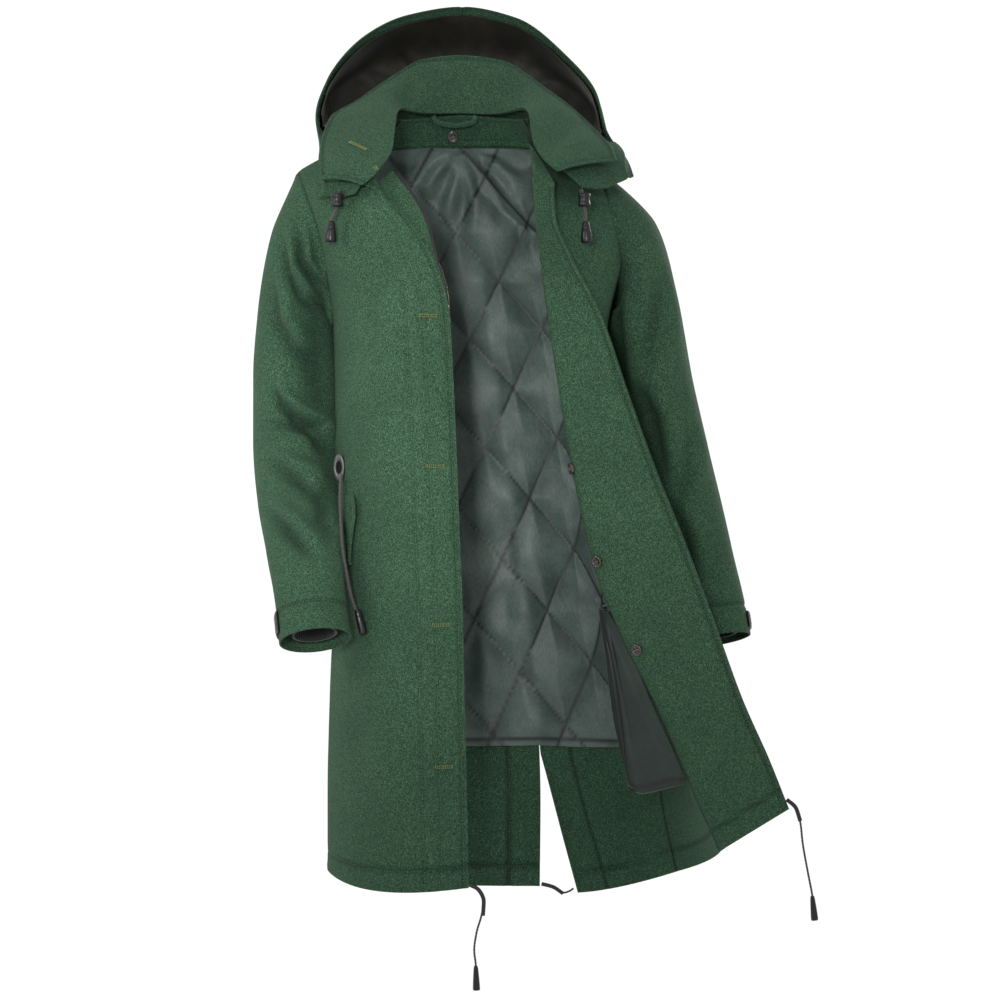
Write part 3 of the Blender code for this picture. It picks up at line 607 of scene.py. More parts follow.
# Backs: two panels of felted wool joined by a seam down the middle, open below as a vent whose
# edges are faced. The inner side of the hem and the vent shows through the open front.
BACK_COUNTS = (70, 180)
BACK_RIGHT_CUT = (0.34, 1.05)
BACK_LEFT_CUT = (0.25, 1.05)
BACK_WAVES = (110.0, 2.0, 1.1)
VENT_FACING = 42.0
VENT_FACING_TOP = 1.25 * VENT_TOP
VENT_FADE = 0.03
VENT_RISE = (0.0, 2.4, 2.4)
VENT_SHADE = (0.8, 2.2)
CENTRE_SHADE = (0.6, 1.6)
BACK_RIGHT_CREASES = [
    ([(-40, -300), (-90, -420), (-140, -470)], 26, 4.0, 1.0),
    ([(-20, -140), (-80, -230), (-130, -300)], 24, 3.2, 1.0),
    ([(20, -480), (-10, -640), (0, -800)], 34, 3.6, 1.0),
    ([(-100, -560), (-90, -700), (-110, -860)], 30, 3.0, 1.0),
]
BACK_LEFT_CREASES = [
    ([(80, -180), (120, -260), (160, -330)], 24, 3.4, 1.0),
    ([(70, -420), (120, -520), (180, -560)], 26, 3.8, 1.0),
    ([(130, -600), (150, -740), (170, -880)], 34, 3.6, 1.0),
]
backs = {}
for name, surface, mirrored, cut, creases in (
        ("back_right", back_right_surface, True, BACK_RIGHT_CUT, BACK_RIGHT_CREASES),
        ("back_left", back_left_surface, False, BACK_LEFT_CUT, BACK_LEFT_CREASES)):
    u, v = grid(BACK_COUNTS)
    base = surface(1 - u if mirrored else u, v)
    way = -normals(base, BACK_COUNTS)
    first, last, hem, top = reach(base, BACK_COUNTS)
    centre, side = (last, first) if mirrored else (first, last)
    in_vent = ease((VENT_FACING_TOP - v) / VENT_FADE)
    lift = waves(base, *BACK_WAVES) * ease(centre / PRESSED_EDGE) + creased(base, way, creases)
    lift = lift * ease(side / JOIN_FADE) + sewn(side, centre, top)
    lift = lift + groove(hem - HEM_DEPTH) + swell(centre - VENT_FACING, VENT_RISE) * in_vent
    places = base + way * lift
    # Painted shade along the side, shoulder, hem and centre seams and the vent facings
    seam = shading((side, *JOINED), (top, *JOINED), (hem - HEM_DEPTH, *HEMMED))
    seam = np.maximum(seam, shading((centre, *CENTRE_SHADE)) * (1 - in_vent))
    seam = np.maximum(seam, shading((centre - VENT_FACING, *VENT_SHADE)) * in_vent)
    piece = cloth(name + "_wool", places, BACK_COUNTS, WOOL, 1, seam=seam)
    give(piece, name, wool)
    inner = places - way * WOOL
    backs[name] = {"hem": line_at(inner, -way, BACK_COUNTS, hem, HEM_DEPTH, 1),
                   "vent": line_at(inner, -way, BACK_COUNTS, centre, VENT_FACING, 0, 0.0, VENT_FACING_TOP),
                   "hem_out": line_at(places, way, BACK_COUNTS, hem, HEM_DEPTH, 1),
                   "seam": line_at(places, way, BACK_COUNTS, centre, EDGE_STITCH, 0)}
stitches("back_stitches", [back[line] for back in backs.values() for line in back])

# Left front: hangs from the shoulder, rolls over at the chest and is turned back to its free
# edge; its outer side shows only beside the sleeve, the rest is under the facing.
FRONT_LEFT_COUNTS = (84, 180)
FRONT_LEFT_WAVES = (100.0, 1.4, 2.6)
FREE_FADE = 60.0
DEEP_JOIN = (1.0, 2.5)
FRONT_LEFT_CREASES = [
    ([(185, -150), (175, -230), (168, -320)], 16, 3.0),
    ([(170, -60), (160, -130), (150, -190)], 14, 2.2),
]
u, v = grid(FRONT_LEFT_COUNTS)
base = front_left_surface(u, v)
way = -normals(base, FRONT_LEFT_COUNTS)
side, free, hem, top = reach(base, FRONT_LEFT_COUNTS)
lift = waves(base, *FRONT_LEFT_WAVES) * ease(free / FREE_FADE) * ease(side / PRESSED_EDGE) * (u < ROLL_START)
lift = (lift + creased(base, way, FRONT_LEFT_CREASES)) * ease(side / JOIN_FADE) + sewn(side, top)
places = base + way * lift
# Painted shade along the side, shoulder and hem seams
seam = shading((side, *DEEP_JOIN), (top, *DEEP_JOIN), (hem - HEM_DEPTH, *HEMMED))
front_left = cloth("front_left_wool", places, FRONT_LEFT_COUNTS, WOOL, 1, seam=seam)
give(front_left, "front_left", wool)
left_outer_hem = line_at(places, way, FRONT_LEFT_COUNTS, hem, HEM_DEPTH, 1)
left_outer_edge = line_at(places, way, FRONT_LEFT_COUNTS, free, EDGE_STITCH, 0)
stitches("front_left_stitches", [left_outer_hem, left_outer_edge])

# Facing of the left front: a strip of the same wool sewn to its inner side from the roll to the
# free edge. It is stitched at the edge and the hem, and rows of stitching stiffen its top.
FACING = 1.6
LAYER_GAP = 0.4
FACING_WINDOW = (12 / 20, 1.0, 0.0, 20 / 22)
FACING_COUNTS = (84, 190)
FACING_WAVES = (80.0, 1.2, 0.9)
FACING_SWELL = (3.0, 1.0, 3.2)
FACING_SINK = 1.0
ROLL_SHADE = (0.9, 2.4)
FACING_CREASES = [
    ([(130, -250), (158, -380), (200, -500)], 24, 2.6),
    ([(180, -330), (220, -460), (262, -560)], 26, 2.4),
    ([(250, -600), (300, -720), (330, -800)], 30, 3.0),
    ([(300, -560), (345, -690), (380, -780)], 26, 2.4),
]
TOP_ROWS = 9
TOP_ROW_STEP = 4.4
TOP_ROW_DIP = (0.0, -0.9, 1.3)
TOP_ROW_SHADE = (0.4, 1.4)
TOP_ROW_START = 0.8
TOP_ROW_SHIFT = 0.012
TOP_FROM = -240.0
TOP_FADE = 120.0


def facing_surface(u, v):
    first_u, last_u, first_v, last_v = FACING_WINDOW
    return front_left_surface(first_u + (last_u - first_u) * u, first_v + (last_v - first_v) * v)


u, v = grid(FACING_COUNTS)
base = facing_surface(u, v)
way = normals(base, FACING_COUNTS)
roll, free, hem = reach(base, FACING_COUNTS)[:3]
high = ease((base[:, 2:] - TOP_FROM) / TOP_FADE)
top_rows = [EDGE_STITCH + TOP_ROW_STEP * (row + 1) for row in range(TOP_ROWS)]
lift = waves(base, *FACING_WAVES) * ease(free / PRESSED_EDGE) + creased(base, way, FACING_CREASES)
lift = lift + swell(free, FACING_SWELL) + groove(free - EDGE_STITCH)
lift = lift + swell(hem, HEM_SWELL) + groove(hem - HEM_DEPTH)
for row in top_rows:
    lift = lift + high * swell(free - row, TOP_ROW_DIP)
places = base + way * (WOOL + LAYER_GAP + FACING + np.maximum(lift, -LAYER_GAP - FACING_SINK))
# Painted shade along the roll, the edge and hem stitching, and the rows at the top
seam = shading((roll, *ROLL_SHADE), (free - EDGE_STITCH, *STITCHED), (hem - HEM_DEPTH, *HEMMED))
for row in top_rows:
    seam = np.maximum(seam, high * shading((free - row, *TOP_ROW_SHADE)))
facing = cloth("facing_left_wool", places, FACING_COUNTS, FACING, -1, seam=seam)
give(facing, "facing_left", wool)
facing_places, facing_way = places, way
rows = [line_at(places, way, FACING_COUNTS, free, row, 0, TOP_ROW_START - TOP_ROW_SHIFT * k, 1.0)
        for k, row in enumerate(top_rows)]
rows += [line_at(places, way, FACING_COUNTS, free, EDGE_STITCH, 0),
         line_at(places, way, FACING_COUNTS, hem, HEM_DEPTH, 1)]
stitches("facing_left_stitches", rows)

# Sleeves: wool tubes set into the armholes, bent at the elbow, with a stitched hem at the cuff.
# The right one is lifted and creased across the elbow, the left one hangs nearly straight.
ARMHOLE_TUCK = 5.0
ARMHOLE_RISE = 0.4
ARMHOLE_DIP = (0.0, -3.4, 6.0)
UNDERARM = 6 / 11
SLEEVE_HEAD = 0.11
AXIS_STEP = 0.02
SLEEVE_COUNTS = (96, 210)
SLEEVE_WAVES = (55.0, 1.8)
HEAD_FADE = 40.0
HEAD_FOLDS = 12.0
HEAD_SWELL = (9.0, 1.2, 6.0)
HEAD_SHADE = (0.7, 3.0)
CUFF_FADE = 60.0
CUFF_STITCH = 38.0
CUFF_SWELL = (4.0, 0.8, 6.0)
CUFF_SHADE = (0.5, 2.2)
# Painted shade in crease troughs: its strength, and the trough depth in mm at which it is full
FOLD_SHADE = 0.5
FOLD_DEEP = 11.0

# Pressed line down the inner side: height, spread round the arm, upper and lower end, their fades
PRESS = 11.0
PRESS_SPREAD = 0.13
PRESS_TOP = -165.0
PRESS_TOP_FADE = 45.0
PRESS_END = -560.0
PRESS_END_FADE = 90.0

# Rings from armhole to cuff: centre, half width, half depth, lift of the outer side
SLEEVE_RIGHT_RINGS = placed([
    ((303, 238, 9), 32, 62, 74),
    ((297, 275, 12), 40, 69, 46),
    ((293, 325, 17), 46, 73, 20),
    ((291, 380, 22), 50, 72, 5),
    ((291, 440, 14), 50, 68, 0),
    ((294, 500, -28), 48, 60, 0),
    ((301, 545, -84), 46, 52, 0),
    ((310, 592, -122), 45, 47, 0),
    ((315, 640, -146), 45, 45, 0),
])
SLEEVE_LEFT_RINGS = placed([
    ((625, 238, 14), 30, 62, 74),
    ((637, 272, 17), 42, 68, 46),
    ((647, 322, 22), 44, 71, 20),
    ((657, 380, 25), 45, 70, 5),
    ((671, 440, 22), 46, 66, 0),
    ((686, 505, 14), 46, 60, 0),
    ((699, 560, 4), 46, 54, 0),
    ((709, 603, -8), 46, 50, 0),
    ((716, 640, -18), 45, 46, 0),
])

# Creases by run in x and z, width, depth, and side that they are seen from
SLEEVE_RIGHT_CREASES = [
    ([(-234, -88), (-224, -141), (-201, -176), (-172, -192)], 6.75, 11.0, -1.0),
    ([(-208, -82), (-204, -128), (-173, -170)], 5.25, 10.0, -1.0),
    ([(-186, -180), (-186, -269), (-180, -352)], 15, 8.0, -1.0),
    ([(-168, -378), (-174, -461), (-160, -500)], 8.25, 9.0, -1.0),
    ([(-246, -140), (-238, -205), (-214, -240), (-186, -258)], 10.5, 9.0, -1.0),
    ([(-248, -285), (-232, -310), (-212, -328), (-190, -342), (-176, -372), (-166, -398)], 7.5, 17.0, -1.0),
    ([(-262, -348), (-226, -350), (-190, -362)], 6.75, -10.0, -1.0),
    ([(-256, -378), (-232, -392), (-200, -410), (-172, -440)], 9, 10.0, -1.0),
    ([(-256, -440), (-216, -474), (-186, -504), (-172, -508)], 9.75, 12.0, -1.0),
    ([(-236, -520), (-206, -540), (-172, -548)], 9, 7.0, -1.0),
    ([(-190, -110), (-215, -180), (-222, -250)], 12, 10.0, 1.0),
    ([(-262, -300), (-226, -345), (-186, -352)], 9, 14.0, 1.0),
    ([(-258, -368), (-222, -392), (-180, -388)], 9, 10.0, 1.0),
    ([(-240, -450), (-205, -490), (-180, -500)], 10.5, 9.0, 1.0),
]
SLEEVE_LEFT_CREASES = [
    ([(196, -140), (206, -220), (216, -300)], 9, 12.0, -1.0),
    ([(262, -130), (252, -210), (230, -262)], 13.5, 7.0, -1.0),
    ([(222, -280), (246, -330), (262, -420)], 12, 11.0, -1.0),
    ([(300, -330), (288, -400), (276, -446)], 12, 6.0, -1.0),
    ([(266, -430), (288, -480), (300, -540)], 10.5, 8.0, -1.0),
    ([(210, -120), (238, -200), (252, -270)], 13.5, 11.0, 1.0),
    ([(302, -330), (276, -384), (238, -400)], 10.5, 13.0, 1.0),
    ([(316, -400), (290, -440), (262, -446)], 9.75, 10.0, 1.0),
    ([(330, -500), (306, -540), (286, -548)], 10.5, 8.0, 1.0),
]


# Armhole loop from underarm up the front to the shoulder and down the back
def armhole(front, front_u, back, u):
    rise = UNDERARM + (1 - UNDERARM) * 2 * np.minimum(u, 1 - u)
    return np.where(u < 0.5, front(np.full_like(u, front_u), rise), back(np.ones_like(u), rise))


# Oval rings on a bent axis, drawn in to the armhole at the top
def sleeve(rings, front, front_u, back, outward):
    centres = [ring[0] for ring in rings]
    sizes = [ring[1:] for ring in rings]

    def surface(u, t):
        u = u % 1.0
        axis = along(centres, t + AXIS_STEP) - along(centres, t - AXIS_STEP)
        axis = axis / np.linalg.norm(axis, axis=1, keepdims=True)
        side = np.array([[outward, 0.0, 0.0]]) - axis * axis[:, :1] * outward
        side = side / np.linalg.norm(side, axis=1, keepdims=True)
        ahead = np.cross(axis, side) * outward
        half_width, half_depth, tilt = np.split(along(sizes, t), 3, axis=1)
        angle = 2 * pi * u
        ring = along(centres, t) + (axis * tilt - side * half_width) * np.cos(angle)
        ring = ring + ahead * half_depth * np.sin(angle)
        hole = armhole(front, front_u, back, u)
        hole = hole + ARMHOLE_TUCK * np.array([[-outward, 0.0, ARMHOLE_RISE]])
        share = ease(t / SLEEVE_HEAD)
        return hole * (1 - share) + ring * share
    return surface


sleeve_right = sleeve(SLEEVE_RIGHT_RINGS, front_right_surface, 1.0, back_right_surface, -1.0)
sleeve_left = sleeve(SLEEVE_LEFT_RINGS, front_left_surface, 0.0, back_left_surface, 1.0)
cuff_rows = []
for name, surface, out, turn, creases in (
        ("sleeve_right", sleeve_right, 1.0, 0.3, SLEEVE_RIGHT_CREASES),
        ("sleeve_left", sleeve_left, -1.0, 1.9, SLEEVE_LEFT_CREASES)):
    u, t = grid(SLEEVE_COUNTS)
    base = surface(u, t)
    way = out * normals(base, SLEEVE_COUNTS, True)
    head, cuff = reach(base, SLEEVE_COUNTS)[2:]
    level = base[:, 2:]
    folds = creased(base, way, creases) * ease((cuff - CUFF_FADE) / CUFF_FADE) * ease(head / HEAD_FOLDS)
    inner = bump((u + 0.5) % 1.0 - 0.5, PRESS_SPREAD)
    inner = inner * ease((PRESS_TOP - level) / PRESS_TOP_FADE) * ease((level - PRESS_END) / PRESS_END_FADE)
    lift = waves(base, *SLEEVE_WAVES, turn) * ease(head / HEAD_FADE) * ease(cuff / CUFF_FADE)
    lift = lift + folds + PRESS * inner + swell(cuff, CUFF_SWELL) + groove(cuff - CUFF_STITCH)
    lift = lift + swell(head, ARMHOLE_DIP) + swell(head, HEAD_SWELL)
    places = base + way * lift
    # Painted shade along the armhole seam and cuff stitching, and darker in the crease troughs
    seam = shading((head, *HEAD_SHADE), (cuff - CUFF_STITCH, *CUFF_SHADE))
    seam = np.maximum(seam, FOLD_SHADE * ease(-folds / FOLD_DEEP))
    piece = cloth(name + "_wool", places, SLEEVE_COUNTS, WOOL, -out, True, seam)
    give(piece, name, wool)
    cuff_rows.append(line_at(places, way, SLEEVE_COUNTS, cuff, CUFF_STITCH, 1))
stitches("cuff_stitches", cuff_rows)

# Storm cuffs: tubes of black rib knit sewn inside the sleeves and drawn in toward the wrist.
# Each rib is a raised wale with a furrow beside it.
RIB = 2.2
RIB_GAP = 0.9
RIB_START = 0.86
RIB_END = 0.985
RIB_NARROW = 0.66
RIB_DRAW = 1.6
RIB_WALES = 46
RIB_HEIGHT = 0.9
RIB_RISE = 4.0
RIB_COUNTS = (276, 24)
rib_knit, tree, shader, loops = mottled(
    "rib_knit_black", {"Roughness": 0.9, "Specular IOR Level": 0.2, "Sheen Weight": 0.15},
    grain=1.6, detail=3.0, deep="#0b0b0c", light="#2c2c2e")
relief_by(tree, shader, loops, strength=0.4, distance=0.4)
for name, surface, out in (("rib_cuff_right", sleeve_right, 1.0), ("rib_cuff_left", sleeve_left, -1.0)):
    u, t = grid(RIB_COUNTS)
    wall = surface(u, RIB_START + (RIB_END - RIB_START) * t)
    ring = wall.reshape(RIB_COUNTS[0] + 1, -1, 3)[:-1].mean(axis=0)
    ring = np.tile(ring, (RIB_COUNTS[0] + 1, 1))
    spoke = wall - ring
    size = np.linalg.norm(spoke, axis=1, keepdims=True)
    inside = (size - WOOL - RIB_GAP) / size
    share = inside + (RIB_NARROW - inside) * ease(t * RIB_DRAW)
    wales = RIB_HEIGHT * (np.cos(2 * pi * RIB_WALES * u) - 1.0) * ease(t * RIB_RISE)
    places = ring + spoke * share + spoke / size * wales
    piece = cloth(name + "_knit", places, RIB_COUNTS, RIB, -out, True)
    give(piece, name, rib_knit)

# Cuff tabs: short ends of black leather strap, folded round the outer side of the cuffs and
# stitched down. Their edges are rounded and painted.
TAB_WINDOW = (0.44, 0.54, 0.925, 0.98)
TAB_COUNTS = (24, 24)
TAB = 2.4
TAB_STAND = 1.2
TAB_ROUND = (0.0, -1.1, 1.6)
TAB_STITCH = (3.2, -0.5, 0.9)
PEBBLE = 1.4
leather, tree, shader = mottled(
    "smooth_leather_black",
    {"Roughness": 0.42, "Specular IOR Level": 0.3, "Coat Weight": 0.08, "Coat Roughness": 0.3},
    grain=9, detail=4.0, deep="#0b0909", light="#1d191b")[:3]
pebble = add(tree, "ShaderNodeTexVoronoi", {"feature": "DISTANCE_TO_EDGE"}, {
    "Vector": coords(tree), "Scale": 1 / (PEBBLE * MM)}).outputs["Distance"]
relief_by(tree, shader, pebble, strength=0.3, distance=0.3)
for name, surface, out in (("cuff_tab_right", sleeve_right, 1.0), ("cuff_tab_left", sleeve_left, -1.0)):
    u, t = grid(TAB_COUNTS, TAB_WINDOW)
    base = surface(u, t)
    way = out * normals(base, TAB_COUNTS)
    near = np.minimum.reduce(reach(base, TAB_COUNTS))
    lift = LAYER_GAP + TAB + TAB_STAND + swell(near, TAB_ROUND) + swell(near, TAB_STITCH)
    piece = cloth(name + "_leather", base + way * lift, TAB_COUNTS, TAB, -out)
    give(piece, name, leather)

# Hood: two wool halves joined over the crown by a seam, lying open on the shoulders, with its
# rim turned under and stitched. Its ends run below the collar to the front of the neck.
# Rows from the right end over the crown to the left end: rim, crown, bag, neck seam
HOOD_ROWS = placed([
    ((316, 197, -92), (332, 196, -101), (345, 196, -110), (356, 194, -119)),
    ((319, 152, -34), (325, 143, -24), (348, 142, -46), (376, 157, -86)),
    ((316, 113, 42), (317, 126, 74), (342, 139, 70), (386, 117.5, 2)),
    ((328, 78, 104), (320, 104, 152), (345, 158, 166), (396, 113, 58)),
    ((362, 38, 165), (350, 80, 215), (372, 202, 194), (414, 112, 86)),
    ((408, 15, 200), (402, 70, 250), (415, 226, 206), (438, 112, 101)),
    ((462, 7, 212), (462, 65, 262), (462, 236, 210), (462, 112, 106)),
    ((517, 18, 200), (520, 70, 248), (509, 226, 206), (486, 112, 101)),
    ((563, 52, 165), (572, 90, 212), (552, 202, 194), (510, 112, 86)),
    ((596, 92, 105), (602, 113, 150), (580, 160, 166), (528, 113, 58)),
    ((606, 130, 50), (608, 136, 78), (584, 143, 72), (538, 117.5, 2)),
    ((628, 162, -15), (616, 150, -14), (588, 146, -48), (556, 159, -90)),
    ((634, 176, -62), (618, 184, -84), (600, 190, -100), (582, 188, -112)),
])
HOOD_COUNTS = (84, 64)
HOOD_WAVES = (60.0, 2.2, 1.4)
RIM_STITCH = 12.0
RIM_SWELL = (4.0, 1.0, 5.0)
RIM_FADE = 40.0
HOOD_SEAM_FADE = 30.0
HOOD_FOLD_FADE = 20.0
HOOD_CREASES = [
    ([(-170, 60), (-120, 20), (-70, -20)], 18, 6.0, 1.0),
    ([(-120, 120), (-90, 60), (-70, 10)], 20, 5.0, 1.0),
    ([(150, 70), (110, 20), (60, -20)], 18, 6.0, 1.0),
    ([(110, 120), (80, 60), (66, 6)], 20, 5.0, 1.0),
    ([(-40, 150), (-20, 60), (-26, -30)], 24, 4.0, 1.0),
    ([(40, 150), (24, 60), (30, -30)], 24, 4.0, 1.0),
    ([(-176, -20), (-160, -34), (-140, -44)], 8, 3.5, -1.0),
    ([(206, 0), (186, -24), (164, -34)], 8, 3.5, -1.0),
]


def hood_surface(s, v):
    return along(np.moveaxis(along(HOOD_ROWS, s), 1, 0), v, each=True)


rim_rows = []
for name, start in (("hood_right", 0.0), ("hood_left", 0.5)):
    u, v = grid(HOOD_COUNTS)
    base = hood_surface(start + 0.5 * u, v)
    way = normals(base, HOOD_COUNTS)
    first, last, rim, neck = reach(base, HOOD_COUNTS)
    centre = last if name == "hood_right" else first
    lift = waves(base, *HOOD_WAVES) * ease(rim / RIM_FADE)
    lift = lift * ease(centre / HOOD_SEAM_FADE) * ease(neck / HOOD_SEAM_FADE)
    lift = lift + creased(base, way, HOOD_CREASES) * ease(centre / HOOD_FOLD_FADE)
    lift = lift + sewn(centre) + swell(rim, RIM_SWELL) + groove(rim - RIM_STITCH)
    places = base + way * lift
    piece = cloth(name + "_wool", places, HOOD_COUNTS, WOOL, -1)
    give(piece, name, wool)
    rim_rows.append(line_at(places, way, HOOD_COUNTS, rim, RIM_STITCH, 1))
    inner = places - way * WOOL
    rim_rows.append(line_at(inner, -way, HOOD_COUNTS, rim, RIM_STITCH, 1))
stitches("hood_stitches", rim_rows)

# Hood lining: dark brown-black satin of a light weave, sewn in behind the rim with a seam over
# the crown. It hangs a little loose, in small folds that run back from the rim.
LINING = 1.0
LINING_GAP = 1.8
LINING_START = 4 / 24
LINING_SPAN = 16 / 24
LINING_RIM = 0.035
LINING_DEPTH = 0.865
LINING_COUNTS = (110, 60)
LINING_WAVES = (26.0, 1.5, 0.7)
LINING_LOOSE = 1.6
LINING_SINK = 1.0
LINING_FADE = 12.0
LINING_AROUND = 600.0
LINING_SEAM = (0.0, -1.2, 3.0)
BAG_GAP = 3.5
BAG_PLACE = 0.66
BAG_SPREAD = 0.14
LINING_FOLDS = [
    ([(-168, 96), (-140, 84), (-112, 78)], 6, 4.0, -1.0),
    ([(-150, 136), (-120, 112), (-96, 104)], 7, 5.0, -1.0),
    ([(-132, 150), (-112, 138), (-84, 128)], 6, 4.0, -1.0),
    ([(-96, 186), (-80, 160), (-66, 146)], 7, 4.5, -1.0),
    ([(-40, 206), (-34, 182), (-30, 160)], 6, 3.0, -1.0),
    ([(30, 204), (28, 184), (24, 160)], 6, 3.0, -1.0),
    ([(84, 186), (74, 164), (60, 146)], 7, 4.5, -1.0),
    ([(128, 140), (108, 128), (92, 116)], 7, 5.0, -1.0),
    ([(150, 108), (132, 98), (112, 92)], 6, 4.0, -1.0),
    ([(168, 78), (150, 76), (132, 78)], 6, 3.5, -1.0),
]

# Woven satin: long floats give a soft gloss, with fine cross ribs too small to show but in bump
SLUB_STRETCH = (1.0, 1.0, 0.12)
SATIN_CLOUD = 45
SATIN_TONES = (0.12, 0.4)


def woven_satin(name, deep, light, gloss, thread, seam_shade_colour=None):
    made, tree, shader = finish_of(name, {
        "Roughness": gloss, "Specular IOR Level": 0.32, "Sheen Weight": 0.12, "Sheen Roughness": 0.35})
    yarn = noise(tree, coords(tree, SLUB_STRETCH), thread, detail=2.0)
    cloud = noise(tree, coords(tree), SATIN_CLOUD, detail=3.0)
    both = add(tree, "ShaderNodeMath", {"operation": "MULTIPLY"}, {0: yarn, 1: cloud}).outputs[0]
    tone = mix(tree, ranged(tree, both, *SATIN_TONES), deep, light)
    # Painted shade: along the cloth's seam marks, the colour turns to the seam shade colour
    if seam_shade_colour:
        tone = mix(tree, seam_shade(tree), tone, seam_shade_colour)
    colour_by(tree, shader, tone)
    relief_by(tree, shader, yarn, strength=0.12, distance=0.3)
    return made


hood_satin = woven_satin("lining_satin_brown", "#131210", "#27261f", gloss=0.6, thread=0.9)
u, v = grid(LINING_COUNTS)
around = LINING_START + LINING_SPAN * u
depth = LINING_RIM + LINING_DEPTH * v
base = hood_surface(around, depth)
way = -normals(base, LINING_COUNTS)
rim = reach(base, LINING_COUNTS)[2]
off = WOOL + LINING_GAP + LINING + BAG_GAP * bump(depth - BAG_PLACE, BAG_SPREAD)
lift = LINING_LOOSE + waves(base, *LINING_WAVES) * ease(rim / LINING_FADE) + creased(base, way, LINING_FOLDS)
lift = lift + swell(np.abs(around - 0.5) * LINING_AROUND, LINING_SEAM)
places = base + way * (off + np.maximum(lift, -LINING_SINK))
lining = cloth("hood_lining_satin", places, LINING_COUNTS, LINING, -1)
give(lining, "hood_lining", hood_satin)

# Collar: two layers of wool turned out and stitched round the edge, lying spread over the hood's
# ends with both wings open. The wearer's right wing carries two corded buttonholes.
# Rows from the right wing round the neck to the left wing: neck seam, outer edge
COLLAR_ROWS = placed([
    ((362, 186, -122), (320, 180, -106)),
    ((379, 170, -116), (320, 150, -62)),
    ((393, 147, -82), (331, 118, 6)),
    ((397, 113, -6), (357, 102, 54)),
    ((404, 109, 45), (390, 79, 95)),
    ((428, 114.2, 76), (424, 60, 120)),
    ((461, 113.7, 90.5), (460, 56, 128)),
    ((495, 114.2, 76), (502, 61, 120)),
    ((520, 109, 45), (540, 85, 95)),
    ((528, 113, -6), (572, 109, 49)),
    ((533, 141, -74), (596, 131, -4)),
    ((545, 160, -110), (612, 150, -58)),
    ((558, 172, -130), (617, 162, -88)),
])
COLLAR_BOW = (0.0, -5.0, 3.0)
COLLAR_COUNTS = (180, 40)
COLLAR_THICK = 3.6
COLLAR_WAVES = (36.0, 1.8, 0.2)
COLLAR_FADE = 20.0
COLLAR_SWELL = (3.2, 1.6, 3.0)
COLLAR_ROUND = (0.0, -0.8, 1.2)
COLLAR_SHADE = (0.5, 1.8)
COLLAR_ROW_ENDS = (0.02, 0.98)
WING_ROW_ENDS = (0.0, 0.95)
COLLAR_CREASES = [
    ([(-150, 60), (-120, 30), (-100, 0)], 12, 3.0, -1.0),
    ([(-60, 130), (-66, 104), (-72, 84)], 12, 2.4, -1.0),
    ([(64, 128), (70, 104), (72, 84)], 12, 2.4, -1.0),
    ([(150, 56), (126, 24), (108, -4)], 12, 3.0, -1.0),
]


def collar_surface(u, v):
    neck, rim = np.moveaxis(along(COLLAR_ROWS, u), 1, 0)
    return neck + (rim - neck) * v + np.array([COLLAR_BOW]) * np.sin(pi * v)


u, v = grid(COLLAR_COUNTS)
base = collar_surface(u, v)
way = normals(base, COLLAR_COUNTS)
right_end, left_end, _, edge = reach(base, COLLAR_COUNTS)
near = np.minimum.reduce([right_end, left_end, edge])
lift = WOOL + waves(base, *COLLAR_WAVES) * ease(near / COLLAR_FADE) + creased(base, way, COLLAR_CREASES)
lift = lift + swell(near, COLLAR_SWELL) + swell(near, COLLAR_ROUND) + groove(near - EDGE_STITCH)
places = base + way * lift
# Painted shade along the collar's edge stitching
seam = shading((near - EDGE_STITCH, *COLLAR_SHADE))
collar = cloth("collar_wool", places, COLLAR_COUNTS, COLLAR_THICK, -1, seam=seam)
give(collar, "collar", wool)
collar_rows = [line_at(places, way, COLLAR_COUNTS, edge, EDGE_STITCH, 1, *COLLAR_ROW_ENDS),
               line_at(places, way, COLLAR_COUNTS, right_end, EDGE_STITCH, 0, *WING_ROW_ENDS),
               line_at(places, way, COLLAR_COUNTS, left_end, EDGE_STITCH, 0, *WING_ROW_ENDS)]
stitches("collar_stitches", collar_rows)
collar_places, collar_way = places, way

# Inner neck and fly: a wool facing inside the back neck and one behind the right fly, plain
# strips sewn on by machine. A rolled hanger loop is caught in the neck seam.
NECK_HALF = 3 / 8
NECK_LOW = 20 / 22
NECK_GAP = 0.95
NECK_COUNTS = (90, 24)
NECK_WAVES = (40.0, 0.5, 1.0)
NECK_SWELL = (3.0, 0.6, 2.5)
EDGE_DIP = (EDGE_STITCH, -0.7, 1.8)


# Whole back from the right side (-1) over the centre (0) to the left side (+1)
def back_surface(s, v):
    return np.where(s < 0, back_right_surface(np.abs(s), v), back_left_surface(np.abs(s), v))


u, v = grid(NECK_COUNTS)
s = NECK_HALF * (2 * u - 1)
base = back_surface(s, NECK_LOW + (1 - NECK_LOW) * v)
way = normals(base, NECK_COUNTS)
borders = reach(base, NECK_COUNTS)
near = np.minimum.reduce(borders)
lift = WOOL + NECK_GAP + FACING + waves(base, *NECK_WAVES) + swell(near, NECK_SWELL) + swell(near, EDGE_DIP)
places = base + way * lift
neck_facing = cloth("neck_facing_wool", places, NECK_COUNTS, FACING, -1)
give(neck_facing, "neck_facing", wool)
neck_low_row = line_at(places, way, NECK_COUNTS, borders[2], EDGE_STITCH, 1)

